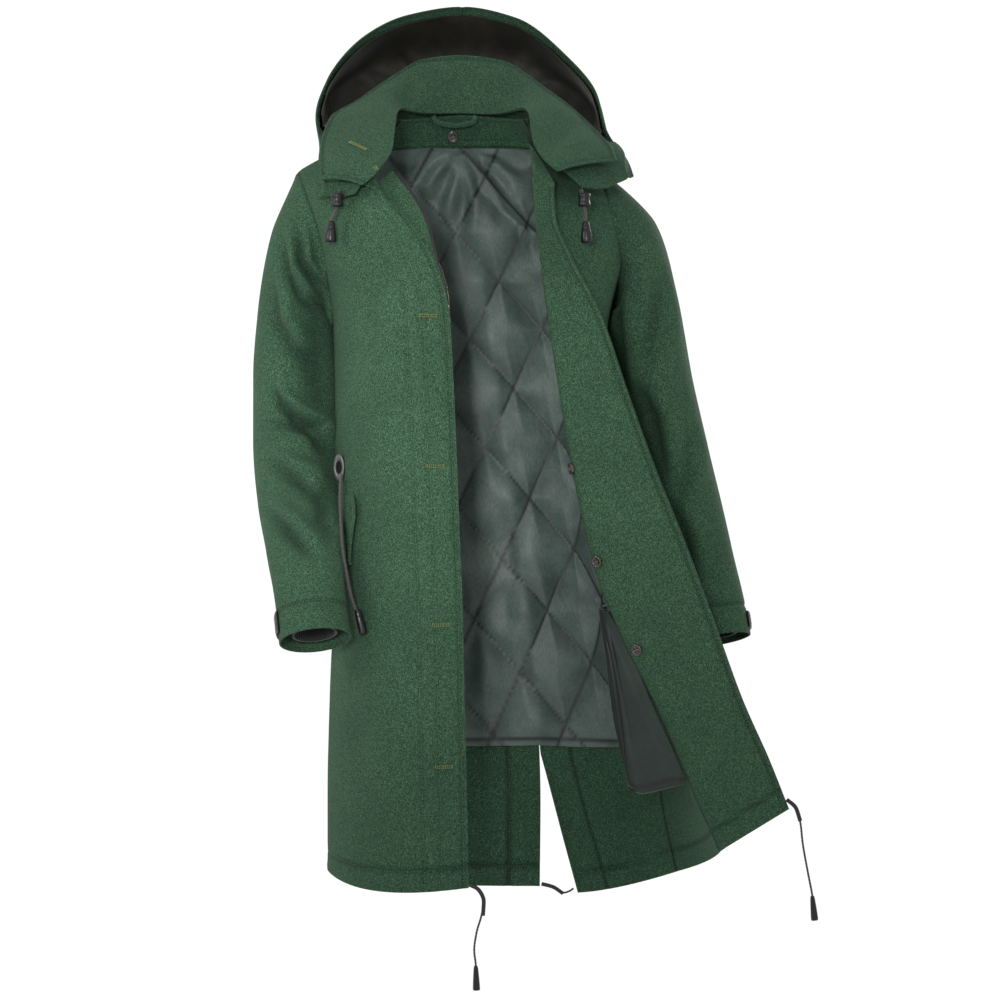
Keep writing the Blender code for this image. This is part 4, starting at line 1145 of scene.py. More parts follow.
# Rows from below upward: edge behind the fly, zip edge
FLY_FACING_ROWS = placed([
    ((440, 332, -145), (450, 332, -145)),
    ((430, 290, -142), (446, 290, -142)),
    ((418, 255, -138), (435, 255, -137)),
    ((402, 226, -130), (426, 222, -128)),
    ((384, 206, -114), (414, 198, -112)),
    ((368, 192, -97), (393, 171, -88)),
])
FLY_COUNTS = (20, 120)
FLY_STITCH = 9.0
FLY_DIP = (FLY_STITCH, -0.6, 1.6)
FLY_EDGE_SWELL = (2.0, 0.6, 2.0)


def fly_facing_surface(u, v):
    inner, edge = np.moveaxis(along(FLY_FACING_ROWS, v), 1, 0)
    return inner + (edge - inner) * u


u, v = grid(FLY_COUNTS)
base = fly_facing_surface(u, v)
way = normals(base, FLY_COUNTS)
open_edge = reach(base, FLY_COUNTS)[1]
fly_places = base - way * (swell(open_edge, FLY_EDGE_SWELL) + swell(open_edge, FLY_DIP))
fly_facing = cloth("fly_facing_right_wool", fly_places, FLY_COUNTS, FACING, 1)
give(fly_facing, "fly_facing_right", wool)
fly_row = line_at(fly_places, -way, FLY_COUNTS, open_edge, FLY_STITCH, 0)
stitches("neck_stitches", [neck_low_row, fly_row])

HANGER_RUN = [place(*spot) for spot in (
    (433, 116, 80),
    (436, 122, 81),
    (455, 125.5, 81),
    (473, 122, 81),
    (476, 116, 80),
)]
HANGER_WIDE = 7.0
HANGER_THICK = 2.6
HANGER_STEPS = 60
HANGER_SIDES = 16
PLAITS = 4


# Solid strip or cord swept along a smooth run, flat or round, with a weave raised on it
def sweep(name, run, wide, thick, steps, sides, weave=0.0, pitch=1.0):
    t = np.linspace(0.0, 1.0, steps + 1).reshape(-1, 1)
    line = along(run, t)
    heading = np.gradient(line, axis=0)
    heading = heading / np.linalg.norm(heading, axis=1, keepdims=True)
    across = np.cross(heading, np.array([[0.0, -1.0, 0.0]]))
    across = across / np.linalg.norm(across, axis=1, keepdims=True)
    toward = np.cross(across, heading)
    length = np.concatenate([[0.0], np.cumsum(np.linalg.norm(np.diff(line, axis=0), axis=1))])
    corners = []
    for spot, side, front, done in zip(line, across, toward, length):
        for k in range(sides):
            turn = 2 * pi * k / sides
            twist = 2 * pi * done / pitch
            raised = 1 + weave * (cos(PLAITS * turn + twist) + cos(PLAITS * turn - twist)) / 2
            corners.append(spot + (side * wide / 2 * cos(turn) + front * thick / 2 * sin(turn)) * raised)
    faces = []
    for j in range(steps):
        for k in range(sides):
            n = (k + 1) % sides
            faces.append((j * sides + k, j * sides + n, (j + 1) * sides + n, (j + 1) * sides + k))
    faces.append(tuple(range(sides - 1, -1, -1)))
    faces.append(tuple(range(steps * sides, (steps + 1) * sides)))
    piece = make(name, corners, faces)
    face_out()
    bpy.ops.object.shade_smooth_by_angle(angle=CLOTH_ANGLE)
    return piece, line * MM, float(length[-1]) * MM


hanger = sweep("hanger_loop_wool", HANGER_RUN, HANGER_WIDE, HANGER_THICK, HANGER_STEPS, HANGER_SIDES)[0]
give(hanger, "hanger_loop", wool)

# Main zip: a dark woven tape on the edge of the right fly facing, with a row of copper-coloured
# metal teeth clamped on its cord and a bright stop at the top. Its slider is out of sight.
ZIP_WINDOW = (0.78, 1.12, 0.02, 0.98)
ZIP_COUNTS = (6, 120)
TAPE = 1.0
TOOTH = (3.4, 1.3, 2.2)
TOOTH_EDGE = 0.35
TOOTH_STEP = 2.6
TOOTH_FIRST = 2.0
TOOTH_LAST = 4.0
TOOTH_AHEAD = 1.5
TOOTH_STAND = 0.9
STOP_GROWTH = (1.3, 1.3, 1.6, 1.0)
copper = mottled("zip_metal_copper", {"Metallic": 1.0, "Roughness": 0.32},
                 grain=4, detail=4.0, deep="#6b5048", light="#b99a86")[0]
tape_weave = woven_satin("zip_tape_black", "#0f0f10", "#262627", gloss=0.8, thread=0.7)
u, v = grid(ZIP_COUNTS, ZIP_WINDOW)
base = fly_facing_surface(u, v)
way = -normals(base, ZIP_COUNTS)
places = base + way * (LAYER_GAP + TAPE)
tape = cloth("zip_right_tape", places, ZIP_COUNTS, TAPE, 1)
give(tape, "zip_right", tape_weave)
net = places.reshape(ZIP_COUNTS[0] + 1, ZIP_COUNTS[1] + 1, 3)
teeth_line = net[-2]
teeth_lean = way.reshape(net.shape)[-2]
length = np.concatenate([[0.0], np.cumsum(np.linalg.norm(np.diff(teeth_line, axis=0), axis=1))])


# Place or lean at some distance along the row of teeth
def along_teeth(values, run_at):
    return Vector([np.interp(run_at, length, values[:, q]) for q in range(3)])


bpy.ops.object.select_all(action="DESELECT")
bpy.ops.mesh.primitive_cube_add(size=1.0)
tooth = bpy.context.object
tooth.name = "zip_right_teeth"
tooth.scale = Vector(TOOTH) * MM
bpy.ops.object.transform_apply(location=False, rotation=False, scale=True)
edge = tooth.modifiers.new("edge", "BEVEL")
edge.width = TOOTH_EDGE * MM
edge.segments = 1
bpy.ops.object.modifier_apply(modifier="edge")
copies = []
for run_at in np.arange(TOOTH_FIRST, length[-1] - TOOTH_LAST, TOOTH_STEP):
    spot = along_teeth(teeth_line, run_at)
    ahead = along_teeth(teeth_line, run_at + TOOTH_AHEAD) - spot
    lean = along_teeth(teeth_lean, run_at)
    side = ahead.cross(lean).normalized()
    turn = Matrix((side, ahead.normalized(), side.cross(ahead.normalized()))).transposed().to_4x4()
    copy = tooth.copy()
    copy.data = tooth.data.copy()
    copy.data.transform(Matrix.Translation((spot + lean * TOOTH_STAND) * MM) @ turn)
    bpy.context.scene.collection.objects.link(copy)
    copies.append(copy)
stop = copies[-1]
stop.data.transform(Matrix.Translation(-spot * MM))
stop.data.transform(Matrix.Diagonal(STOP_GROWTH))
stop.data.transform(Matrix.Translation(spot * MM))
bpy.data.objects.remove(tooth, do_unlink=True)
bpy.ops.object.select_all(action="DESELECT")
for copy in copies:
    copy.select_set(True)
bpy.context.view_layer.objects.active = copies[0]
bpy.ops.object.join()
teeth = bpy.context.object
teeth.name = "zip_right_teeth"
give(teeth, None, copper)

# Quilted liner: two layers of dark satin with wadding between them, stitched through in a lattice
# of slanting diamonds, with a bound hem. It is buttoned inside the back from the neck to the knee.
LINER = 5.0
LINER_SKIN = 1.0
LINER_GAP = 5.6
LINER_CLOSE = 0.66
LINER_RIGHT = -0.9
LINER_LEFT = 0.88
LINER_HEM = 0.142
LINER_TOP = 0.9
LINER_FLAT = 0.4
LINER_SLOPE = 0.46
LINER_TURN = 0.75
LINER_EASE = 0.45
LINER_CLOSE_FROM = 0.85
LINER_CLOSE_REACH = 0.4
LINER_COUNTS = (176, 250)
LINER_WAVES = (70.0, 1.6, 0.5)
LINER_WAVE_FADE = 40.0
LINER_FOLD_FADE = 10.0
PUFF = 11.0
PUFF_REACH = 12.0
PUFF_POWER = 1.25
PUFF_FADE = 26.0
PUFF_SUNK = 3.0
LINER_SINK = 4.0
# Width of the painted shade along the quilting seams
QUILT_LINE = 1.7
BINDING = 8.0
BINDING_SEAM = BINDING + 1.0
BINDING_SWELL = (BINDING / 2, 2.6, BINDING / 2)
BINDING_DIP = (BINDING_SEAM, -1.2, 1.2)
# Width of the painted shade beside the binding seam
BINDING_LINE = 2.0

# Lattice in x and z: one crossing, a step along each seam, and how both grow downward
LATTICE_AT = (-10.0, -79.0)
LATTICE_DOWN_LEFT = (58.0, -64.0)
LATTICE_DOWN_RIGHT = (-40.0, -76.0)
LATTICE_GROWTH = (0.9, -1.7)
LATTICE_ROUNDS = 6
FIRST_WIDTH = 60.0
SECOND_WIDTH = 72.0

# Small gathers beside the seams: height, sway, where they lie, and how many and how wavy on each
GATHER = 0.22
GATHER_SWAY = 2.0
GATHER_PLACE = (7.0, 1.0, 6.0)
FIRST_GATHERS = (34.0, 9.0)
SECOND_GATHERS = (38.0, 8.0)
LINER_FOLDS = [
    ([(-4, 30), (30, -12), (54, -50), (96, -88)], 11, 11.9, -1.0),
    ([(-14, 30), (-22, -10), (-40, -60)], 10, 8.5, -1.0),
    ([(-8, 30), (0, -30), (-6, -90)], 10, 7.65, -1.0),
    ([(6, 34), (50, 10), (84, -8)], 10, 7.65, -1.0),
    ([(-20, 36), (-50, 10), (-66, -20)], 10, 7.65, -1.0),
    ([(40, -420), (60, -520), (52, -640)], 22, 6.8, -1.0),
    ([(-10, -520), (10, -620), (0, -720)], 20, 5.95, -1.0),
]


# Steps along both seam directions from the first crossing, found by closing in on each place
def lattice(flat):
    second = np.zeros(len(flat))
    off = flat - np.array(LATTICE_AT)
    down_left = np.array(LATTICE_DOWN_LEFT)
    down_right = np.array(LATTICE_DOWN_RIGHT)
    growth = np.array(LATTICE_GROWTH)
    for _ in range(LATTICE_ROUNDS):
        left = down_left + growth * second[:, None]
        cross = left[:, 0] * down_right[1] - left[:, 1] * down_right[0]
        first = (off[:, 0] * down_right[1] - off[:, 1] * down_right[0]) / cross
        rest = off - left * first[:, None]
        second = rest @ down_right / (down_right @ down_right)
    return first, second


def gathered(along_seam, across, size):
    many, wavy = size
    return np.sin(along_seam * many + np.sin(across * wavy) * GATHER_SWAY)


# Height of the wadding: none at a seam, full in the middle of a diamond, with small gathers; and painted
# shade along the seams
def quilted(flat):
    first, second = lattice(flat)
    off_first = np.abs(first - np.round(first)) * FIRST_WIDTH
    off_second = np.abs(second - np.round(second)) * SECOND_WIDTH
    nearest = np.minimum(off_first, off_second)
    crown = 1 - np.exp(-(nearest / PUFF_REACH) ** PUFF_POWER)
    gathers = gathered(first, second, FIRST_GATHERS) * swell(off_second, GATHER_PLACE)
    gathers = gathers + gathered(second, first, SECOND_GATHERS) * swell(off_first, GATHER_PLACE)
    return (PUFF * crown + GATHER * gathers)[:, None], bump(nearest, QUILT_LINE)[:, None]


def liner_back_surface(u, v):
    s = LINER_RIGHT + (LINER_LEFT - LINER_RIGHT) * u
    top = LINER_TOP - LINER_SLOPE * np.maximum(0.0, np.abs(s) - LINER_FLAT)
    level = LINER_HEM + (top - LINER_HEM) * v
    inward = np.concatenate([-LINER_TURN * s, -1.0 + LINER_EASE * np.abs(s), np.zeros_like(s)], axis=1)
    near_top = ease((v - LINER_CLOSE_FROM) / (1 - LINER_CLOSE_FROM))
    close = 1 - LINER_CLOSE * near_top * np.maximum(0.0, 1 - np.abs(s) / LINER_CLOSE_REACH)
    return back_surface(s, level) + (WOOL + LINER_GAP * close) * inward


# Last colour: the dark painted shade along quilting and binding seams
quilt_satin = woven_satin("quilt_satin_grey_green", "#313e3a", "#505e58", 0.54, 0.8, "#0f1514")
# Darker copy of the quilt satin for the left liner front: painted shade for a piece that hangs out of the
# light
shaded_flap_satin = woven_satin("quilt_satin_shaded_side", "#0e1814", "#192620", 0.6, 0.8, "#080d0b")
u, v = grid(LINER_COUNTS)
base = liner_back_surface(u, v)
way = normals(base, LINER_COUNTS)
right, left, hem, top = reach(base, LINER_COUNTS)
columns = LINER_COUNTS[0] + 1
middle_x = base[:, 0].reshape(columns, -1)[columns // 2]
half_way = right.reshape(columns, -1)[columns // 2]
flat = np.stack([np.tile(middle_x - half_way, columns) + right[:, 0], base[:, 2]], axis=1)
near = np.minimum.reduce([right, left, hem, top])
# Painted shade along the quilting seams and beside the binding
puff, seam = quilted(flat)
lift = puff * ease(near / PUFF_FADE) - PUFF_SUNK
lift = lift + creased(base, way, LINER_FOLDS) * ease(top / LINER_FOLD_FADE)
lift = lift + swell(hem, BINDING_SWELL) + swell(hem, BINDING_DIP)
lift = np.maximum(lift + waves(base, *LINER_WAVES) * ease(near / LINER_WAVE_FADE), -LINER_SINK)
seam = np.maximum(seam, bump(hem - BINDING_SEAM, BINDING_LINE))
places = base + way * (LINER + lift)
liner = cloth("liner_back_quilt", places, LINER_COUNTS, LINER - LINER_SKIN, -1, seam=seam)
give(liner, "liner_back", quilt_satin)

# Left liner front: the same quilt, buttoned along the facing and hanging free with a rounded
# bound bottom; its seams run down it in long curves.
LINER_FLAP_ROWS = placed([
    ((686.5, 784, -94), (642, 794, -96), (628, 788, -70), (652, 780, -25)),
    ((674, 752, -91), (634, 758, -94), (621, 756, -70), (640, 752, -25)),
    ((657, 715, -89), (627, 716, -92), (614, 716, -68), (630, 712, -25)),
    ((633, 660, -89.5), (614, 660, -90), (606, 660, -66), (612, 655, -25)),
    ((609, 612, -90.5), (602, 610, -84), (599, 608, -62), (604, 605, -25)),
])
FLAP_QUILT = 4.0
FLAP_SKIN = 0.8
FLAP_COUNTS = (80, 100)
FLAP_WAVES = (30.0, 0.9, 2.2)
FLAP_PUFF = 5.0
FLAP_PUFF_REACH = 11.0
FLAP_PUFF_FADE = 18.0
FLAP_PUFF_SUNK = 1.6
# Width of the painted shade along the flap's seams
FLAP_QUILT_LINE = 2.2
FLAP_BINDING_SWELL = (BINDING / 2, 2.0, BINDING / 2)
FLAP_BINDING_DIP = (BINDING_SEAM, -1.0, 1.2)
# Width of the painted shade beside the flap's binding
FLAP_BINDING_LINE = 1.8

# Both seams: distance from the front edge and how they bend with the drop below the flap's top
FLAP_TOP = -560.0
FLAP_DROP = 240.0
FIRST_SEAM = (20.0, 0.0011)
SECOND_SEAM = (74.0, 0.0009)
u, v = grid(FLAP_COUNTS)
base = along(np.moveaxis(along(LINER_FLAP_ROWS, v), 1, 0), u, each=True)
way = normals(base, FLAP_COUNTS)
front_edge, back_edge, hem = reach(base, FLAP_COUNTS)[:3]
drop = FLAP_TOP - base[:, 2:]
first_seam = np.abs(front_edge - FIRST_SEAM[0] - FIRST_SEAM[1] * drop ** 2)
second_seam = np.abs(front_edge - SECOND_SEAM[0] + SECOND_SEAM[1] * (FLAP_DROP - drop) ** 2)
nearest = np.minimum(first_seam, second_seam)
crown = 1 - np.exp(-nearest / FLAP_PUFF_REACH)
near = np.minimum.reduce([front_edge, back_edge, hem])
lift = FLAP_PUFF * crown * ease(near / FLAP_PUFF_FADE) - FLAP_PUFF_SUNK + waves(base, *FLAP_WAVES)
lift = lift + swell(hem, FLAP_BINDING_SWELL) + swell(hem, FLAP_BINDING_DIP)
places = base + way * (FLAP_QUILT + lift)
# Painted shade along both seams and beside the binding
seam = np.maximum(bump(nearest, FLAP_QUILT_LINE), bump(hem - BINDING_SEAM, FLAP_BINDING_LINE))
liner_flap = cloth("liner_front_left_quilt", places, FLAP_COUNTS, FLAP_QUILT - FLAP_SKIN, -1, seam=seam)
give(liner_flap, "liner_front_left", shaded_flap_satin)

# Pocket flaps: doubled wool with a stitched edge, sewn on above the hip pockets and open below.
# Each lies on its own front and lifts a little at its lower edge.
FLAP = 2.4
FLAP_GAP = 0.9
FLAP_LOW = 0.305
FLAP_HIGH = 0.368
FLAP_SWAY = 0.016
FLAP_LIFT = 2.4
FLAP_LIFT_REACH = 30.0
POCKET_COUNTS = (60, 48)
POCKET_WAVES = (22.0, 0.8, 0.6)
POCKET_SWELL = (3.0, 0.7, 2.6)
POCKET_ROUND = (0.0, -0.9, 1.2)
flap_rows = []
for name, surface, left, right in (("pocket_flap_right", front_right_surface, 0.64, 0.96),
                                   ("pocket_flap_left", front_left_surface, 0.06, 0.26)):
    u, v = grid(POCKET_COUNTS, (left, right, FLAP_LOW, FLAP_HIGH))
    sway = FLAP_SWAY * np.sin(2 * pi * (v - FLAP_LOW) / (FLAP_HIGH - FLAP_LOW))
    base = surface(u + sway * (right - u) / (right - left), v)
    way = -normals(base, POCKET_COUNTS)
    first, last, low = reach(base, POCKET_COUNTS)[:3]
    near = np.minimum.reduce([first, last, low])
    lift = FLAP_GAP + FLAP + FLAP_LIFT * ease((FLAP_LIFT_REACH - low) / FLAP_LIFT_REACH)
    lift = lift + waves(base, *POCKET_WAVES) + swell(near, POCKET_SWELL)
    lift = lift + swell(near, POCKET_ROUND) + swell(near, EDGE_DIP)
    places = base + way * lift
    piece = cloth(name + "_wool", places, POCKET_COUNTS, FLAP, 1)
    give(piece, name, wool)
    flap_rows += [line_at(places, way, POCKET_COUNTS, low, EDGE_STITCH, 1),
                  line_at(places, way, POCKET_COUNTS, first, EDGE_STITCH, 0),
                  line_at(places, way, POCKET_COUNTS, last, EDGE_STITCH, 0)]
stitches("pocket_flap_stitches", flap_rows)

# Buttons: turned from dark horn with a raised rim, a dished middle and four holes, sewn on with
# crossed thread. Three sit on the left facing and one inside the neck.
BUTTON_RADIUS = 7.5
BUTTON_THICK = 3.2
BUTTON_SIDES = 40
BUTTON_EDGE = 0.4
BUTTON_STAND = 0.5
BUTTON_SPIN = 0.4
HARD_ANGLE = 0.7
RIM_SLOPE = 0.9
RIM_RISE = 0.35
RIM_FLAT = 1.1
DISH = 0.9
DISH_SLOPE = 0.7
FACE_UP = 0.9
HOLE_RADIUS = 0.95
HOLE_SIDES = 16
HOLE_OFF = 1.9
THREAD_STAND = 0.3
THREAD_SPOTS = 5
BUTTON_STITCH = (3.5, 0.2, 0.9)
FACING_BUTTONS = ((0.06, 0.5), (0.16, 0.41), (0.2, 0.28))
NECK_BUTTON_LEAN = np.array([0.0, -0.96, -0.28])
HORN_STRETCH = (1.0, 1.0, 0.25)
HORN_STREAK = 3
HORN_TONES = (0.42, 0.7)
horn, tree, shader = finish_of("polished_horn_dark", {
    "Roughness": 0.24, "Specular IOR Level": 0.5, "Coat Weight": 0.3, "Coat Roughness": 0.1})
streak = noise(tree, coords(tree, HORN_STRETCH), HORN_STREAK, detail=5.0, Distortion=1.2)
colour_by(tree, shader, mix(tree, ranged(tree, streak, *HORN_TONES), "#171315", "#4a3d3a"))
bpy.ops.object.select_all(action="DESELECT")
bpy.ops.mesh.primitive_cylinder_add(vertices=BUTTON_SIDES, radius=BUTTON_RADIUS * MM,
                                    depth=BUTTON_THICK * MM)
button = bpy.context.object
bpy.ops.object.mode_set(mode="EDIT")
bpy.ops.mesh.select_mode(type="FACE")
bpy.ops.mesh.select_all(action="DESELECT")
bpy.ops.object.mode_set(mode="OBJECT")
for face in button.data.polygons:
    face.select = face.normal.z > FACE_UP
bpy.ops.object.mode_set(mode="EDIT")
bpy.ops.mesh.inset(thickness=RIM_SLOPE * MM, depth=RIM_RISE * MM)
bpy.ops.mesh.inset(thickness=RIM_FLAT * MM, depth=0.0)
bpy.ops.mesh.inset(thickness=DISH_SLOPE * MM, depth=-DISH * MM)
bpy.ops.object.mode_set(mode="OBJECT")
for side_x, side_y in ((1, 1), (1, -1), (-1, 1), (-1, -1)):
    bpy.ops.mesh.primitive_cylinder_add(
        vertices=HOLE_SIDES, radius=HOLE_RADIUS * MM, depth=3 * BUTTON_THICK * MM,
        location=(side_x * HOLE_OFF * MM, side_y * HOLE_OFF * MM, 0.0))
    drill = bpy.context.object
    alone(button)
    hole = button.modifiers.new("hole", "BOOLEAN")
    hole.object = drill
    hole.solver = "EXACT"
    bpy.ops.object.modifier_apply(modifier="hole")
    bpy.data.objects.remove(drill, do_unlink=True)
edge = button.modifiers.new("edge", "BEVEL")
edge.width = BUTTON_EDGE * MM
edge.segments = 2
bpy.ops.object.modifier_apply(modifier="edge")
bpy.ops.object.shade_smooth_by_angle(angle=HARD_ANGLE)

# Places of the buttons: on the facing by its grid, and on the neck where its node is
seats = {}
for number, (u, v) in enumerate(FACING_BUTTONS, 1):
    spot = round(u * FACING_COUNTS[0]) * (FACING_COUNTS[1] + 1) + round(v * FACING_COUNTS[1])
    seats["button_facing_%d" % number] = (facing_places[spot], facing_way[spot])
low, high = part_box("button_neck")
neck_spot = np.array([(a + b) / 2 / MM for a, b in zip(low, high)])
seats["button_neck"] = (neck_spot - NECK_BUTTON_LEAN * BUTTON_THICK / 2, NECK_BUTTON_LEAN)
shank_thread = []
for name, (spot, lean) in seats.items():
    lean = Vector(lean).normalized()
    turn = lean.to_track_quat("Z", "Y").to_matrix().to_4x4() @ Matrix.Rotation(BUTTON_SPIN, 4, "Z")
    seat = Matrix.Translation((Vector(spot) + lean * (BUTTON_STAND + BUTTON_THICK / 2)) * MM) @ turn
    copy = button.copy()
    copy.data = button.data.copy()
    copy.name = name + "_horn"
    copy.data.transform(seat)
    bpy.context.scene.collection.objects.link(copy)
    give(copy, name, horn)
    thread_level = BUTTON_THICK / 2 - DISH + THREAD_STAND
    for side in (1, -1):
        ends = [np.array(seat @ (Vector((side * HOLE_OFF, q * HOLE_OFF, thread_level)) * MM)) / MM
                for q in (-1.0, 1.0)]
        shank_thread.append((np.linspace(*ends, THREAD_SPOTS), np.tile(np.array(lean), (THREAD_SPOTS, 1))))
bpy.data.objects.remove(button, do_unlink=True)
stitches("button_threads", shank_thread, olive_thread, BUTTON_STITCH)

# Buttonholes: slits worked over with thick olive thread, four across the right fly and two on the
# right wing of the collar, each of two close rows with a bar at both ends.
HOLE_LENGTH = 20.0
HOLE_WIDTH = 2.6
HOLE_SPOTS = 24
HOLE_RISE = 2.1
BAR_SPOTS = 8
BAR_RISE = 2.2
HOLE_STITCH = (2.2, 0.2, 1.9)
FLY_HOLES = (-204.0, -396.0, -590.0, -774.0)
FLY_HOLE_IN = 12.0
FLY_HOLE_START = -152.0
FLY_HOLE_END = -150.0
COLLAR_HOLES = [((-140, -70, 12), (-121, -80, -6)), ((-107, -108, -20), (-92, -116, -30))]
hole_rows = []


# Two close rows of thread side by side, bars at both ends
def worked_hole(places, way, start, end):
    a = np.argmin(np.linalg.norm(places - np.array(start), axis=1))
    b = np.argmin(np.linalg.norm(places - np.array(end), axis=1))
    lean = way[a]
    first, last = places[a], places[b]
    side = np.cross(lean, (last - first) / np.linalg.norm(last - first))
    rows = []
    for off in (-HOLE_WIDTH / 2, HOLE_WIDTH / 2):
        line = np.linspace(first, last, HOLE_SPOTS) + side * off + lean * HOLE_RISE
        rows.append((line, np.tile(lean, (HOLE_SPOTS, 1))))
    for spot in (first, last):
        line = np.linspace(spot - side * HOLE_WIDTH, spot + side * HOLE_WIDTH, BAR_SPOTS) + lean * BAR_RISE
        rows.append((line, np.tile(lean, (BAR_SPOTS, 1))))
    return rows


edge_line = right_edge[0]
for level in FLY_HOLES:
    start_x = np.interp(level, edge_line[:, 2], edge_line[:, 0]) - FLY_HOLE_IN
    hole_rows += worked_hole(right_base, right_way, (start_x, FLY_HOLE_START, level),
                             (start_x - HOLE_LENGTH, FLY_HOLE_END, level))
for start, end in COLLAR_HOLES:
    hole_rows += worked_hole(collar_places, collar_way, start, end)
stitches("buttonholes", hole_rows, olive_thread, HOLE_STITCH)

# Waist eyelet: an oval grey moulded ring clamped through the right side, with a slot from which the waist
# cord comes; a matt black disc sunk in the ring is painted shadow for the dark of the slot.
EYELET_RADIUS = 5.6
EYELET_TUBE = 2.3
EYELET_STRETCH = 2.3
EYELET_TURN = 0.75
EYELET_STAND = 2.0
EYELET_PLACE = (0.8, 0.393)
EYELET_STEP = 0.004
EYELET_SIDES = 64
EYELET_TUBE_SIDES = 20
SLOT_IN = 1.2
SLOT_THICK = 0.8
SLOT_EDGE = 0.2
SLOT_SUNK = 1.6
SLOT_SIDES = 48
eye_u = np.array([[EYELET_PLACE[0]]])
eye_v = np.array([[EYELET_PLACE[1]]])
du = front_right_surface(eye_u + EYELET_STEP, eye_v) - front_right_surface(eye_u - EYELET_STEP, eye_v)
dv = front_right_surface(eye_u, eye_v + EYELET_STEP) - front_right_surface(eye_u, eye_v - EYELET_STEP)
eye_lean = -np.cross(du, dv)[0]
eye_lean = eye_lean / np.linalg.norm(eye_lean)
eye_at = front_right_surface(eye_u, eye_v)[0] + (LAYER_GAP + EYELET_TUBE + EYELET_STAND) * eye_lean
eye_lean = eye_lean * (1 - EYELET_TURN) + np.array([0.0, -1.0, 0.0]) * EYELET_TURN
eye_lean = eye_lean / np.linalg.norm(eye_lean)
moulded = mottled("moulded_plastic_grey", {"Roughness": 0.42, "Specular IOR Level": 0.5},
                  grain=5, detail=4.0, deep="#19191a", light="#39393b")[0]
bpy.ops.object.select_all(action="DESELECT")
bpy.ops.mesh.primitive_torus_add(major_segments=EYELET_SIDES, minor_segments=EYELET_TUBE_SIDES,
                                 major_radius=EYELET_RADIUS * MM, minor_radius=EYELET_TUBE * MM)
eyelet = bpy.context.object
eyelet.name = "eyelet_right_ring"
eye_turn = Vector(eye_lean).to_track_quat("Z", "Y").to_matrix().to_4x4()
eye_shape = Matrix.Diagonal((1.0, EYELET_STRETCH, 1.0, 1.0))
eye_seat = Matrix.Translation(Vector(eye_at) * MM) @ eye_turn @ eye_shape
bpy.ops.mesh.primitive_cylinder_add(vertices=SLOT_SIDES, radius=(EYELET_RADIUS - SLOT_IN) * MM,
                                    depth=SLOT_THICK * MM)
shadow_disc = bpy.context.object
bpy.ops.object.mode_set(mode="EDIT")
bpy.ops.mesh.select_mode(type="FACE")
bpy.ops.mesh.select_all(action="SELECT")
bpy.ops.mesh.bevel(offset=SLOT_EDGE * MM, segments=2, affect="EDGES")
bpy.ops.object.mode_set(mode="OBJECT")
shadow_disc.name = "eyelet_right_slot_shadow"
# Matt black disc: painted shadow standing for the dark inside the slot
slot_shadow_black = finish_of("painted_slot_shadow_black", {
    "Base Color": linear("#0b0b0c"), "Roughness": 0.85, "Specular IOR Level": 0.15})[0]
for piece, node, finish, sunk in ((eyelet, "eyelet_right", moulded, 0.0),
                                  (shadow_disc, None, slot_shadow_black, SLOT_SUNK)):
    piece.data.transform(Matrix.Translation(Vector(eye_lean) * -sunk * MM) @ eye_seat)
    alone(piece)
    bpy.ops.object.shade_smooth_by_angle(angle=HARD_ANGLE)
    give(piece, node, finish)

# Cords: the hood cords come out of the hood's ends through barrel stoppers into bell ends, the
# waist cord hangs from its eyelet, and thin hem cords hang in leather straps from both corners
# of the fronts and bridge the vent. All are braided; the ends are moulded in glossy black.
CORD = 4.0
THIN_CORD = 2.6
CORD_STEPS = 40
CORD_SIDES = 24
BRAID = 0.07
BRAID_PITCH = 1.6
STRAP_WIDE = 5.2
STRAP_THICK = 3.2
STRAP_STEPS = 60
STRAP_SIDES = 20
WAIST_CORD_RUN = [place(*spot) for spot in (
    (341, 474, -111),
    (340, 500, -118),
    (342, 544, -124),
    (346, 570, -130),
    (351, 595, -133),
    (357, 613, -134),
)]
HOOD_CORD_RIGHT_RUN = [(-153, -109, -42), (-156, -114, -54), (-157, -116, -65), (-161, -117, -74),
                       (-164, -117, -82), (-165, -117, -96)]
HOOD_CORD_LEFT_RUN = [(152, -110, -42), (155, -116, -54), (156, -118, -65), (157, -118, -75),
                      (158, -118, -83), (159, -118, -98)]
HEM_STRAP_RIGHT_RUN = [(11, -149, -919), (22, -150, -925), (29, -150, -940), (28, -150, -958)]
HEM_CORD_RIGHT_RUN = [(11, -149, -919), (22, -150, -925), (29, -150, -940), (26, -150, -958),
                      (20, -150, -979), (17, -150, -1001), (19, -150, -1021), (19, -150, -1034)]
HEM_STRAP_LEFT_RUN = [(409, -159, -811), (420, -160, -821), (426, -160, -838)]
HEM_CORD_LEFT_RUN = [(409, -159, -811), (420, -160, -821), (426, -160, -840), (429, -160, -866),
                     (435, -160, -900), (441, -160, -932), (442, -160, -944)]
VENT_STRAP_RUN = [(105, 140, -950), (120, 140, -954), (134, 140, -963)]
VENT_CORD_RUN = [(105, 140, -950), (120, 140, -954), (134, 140, -962), (142, 140, -960), (148, 140, -956)]

# Braided polyester cord: round, with crossing plaits about 3 mm long that catch the light
cord_braid = mottled(
    "braided_cord_brown_grey", {"Roughness": 0.6, "Specular IOR Level": 0.4, "Sheen Weight": 0.2},
    grain=1.8, detail=3.0, deep="#100e0f", light="#322b2d")[0]

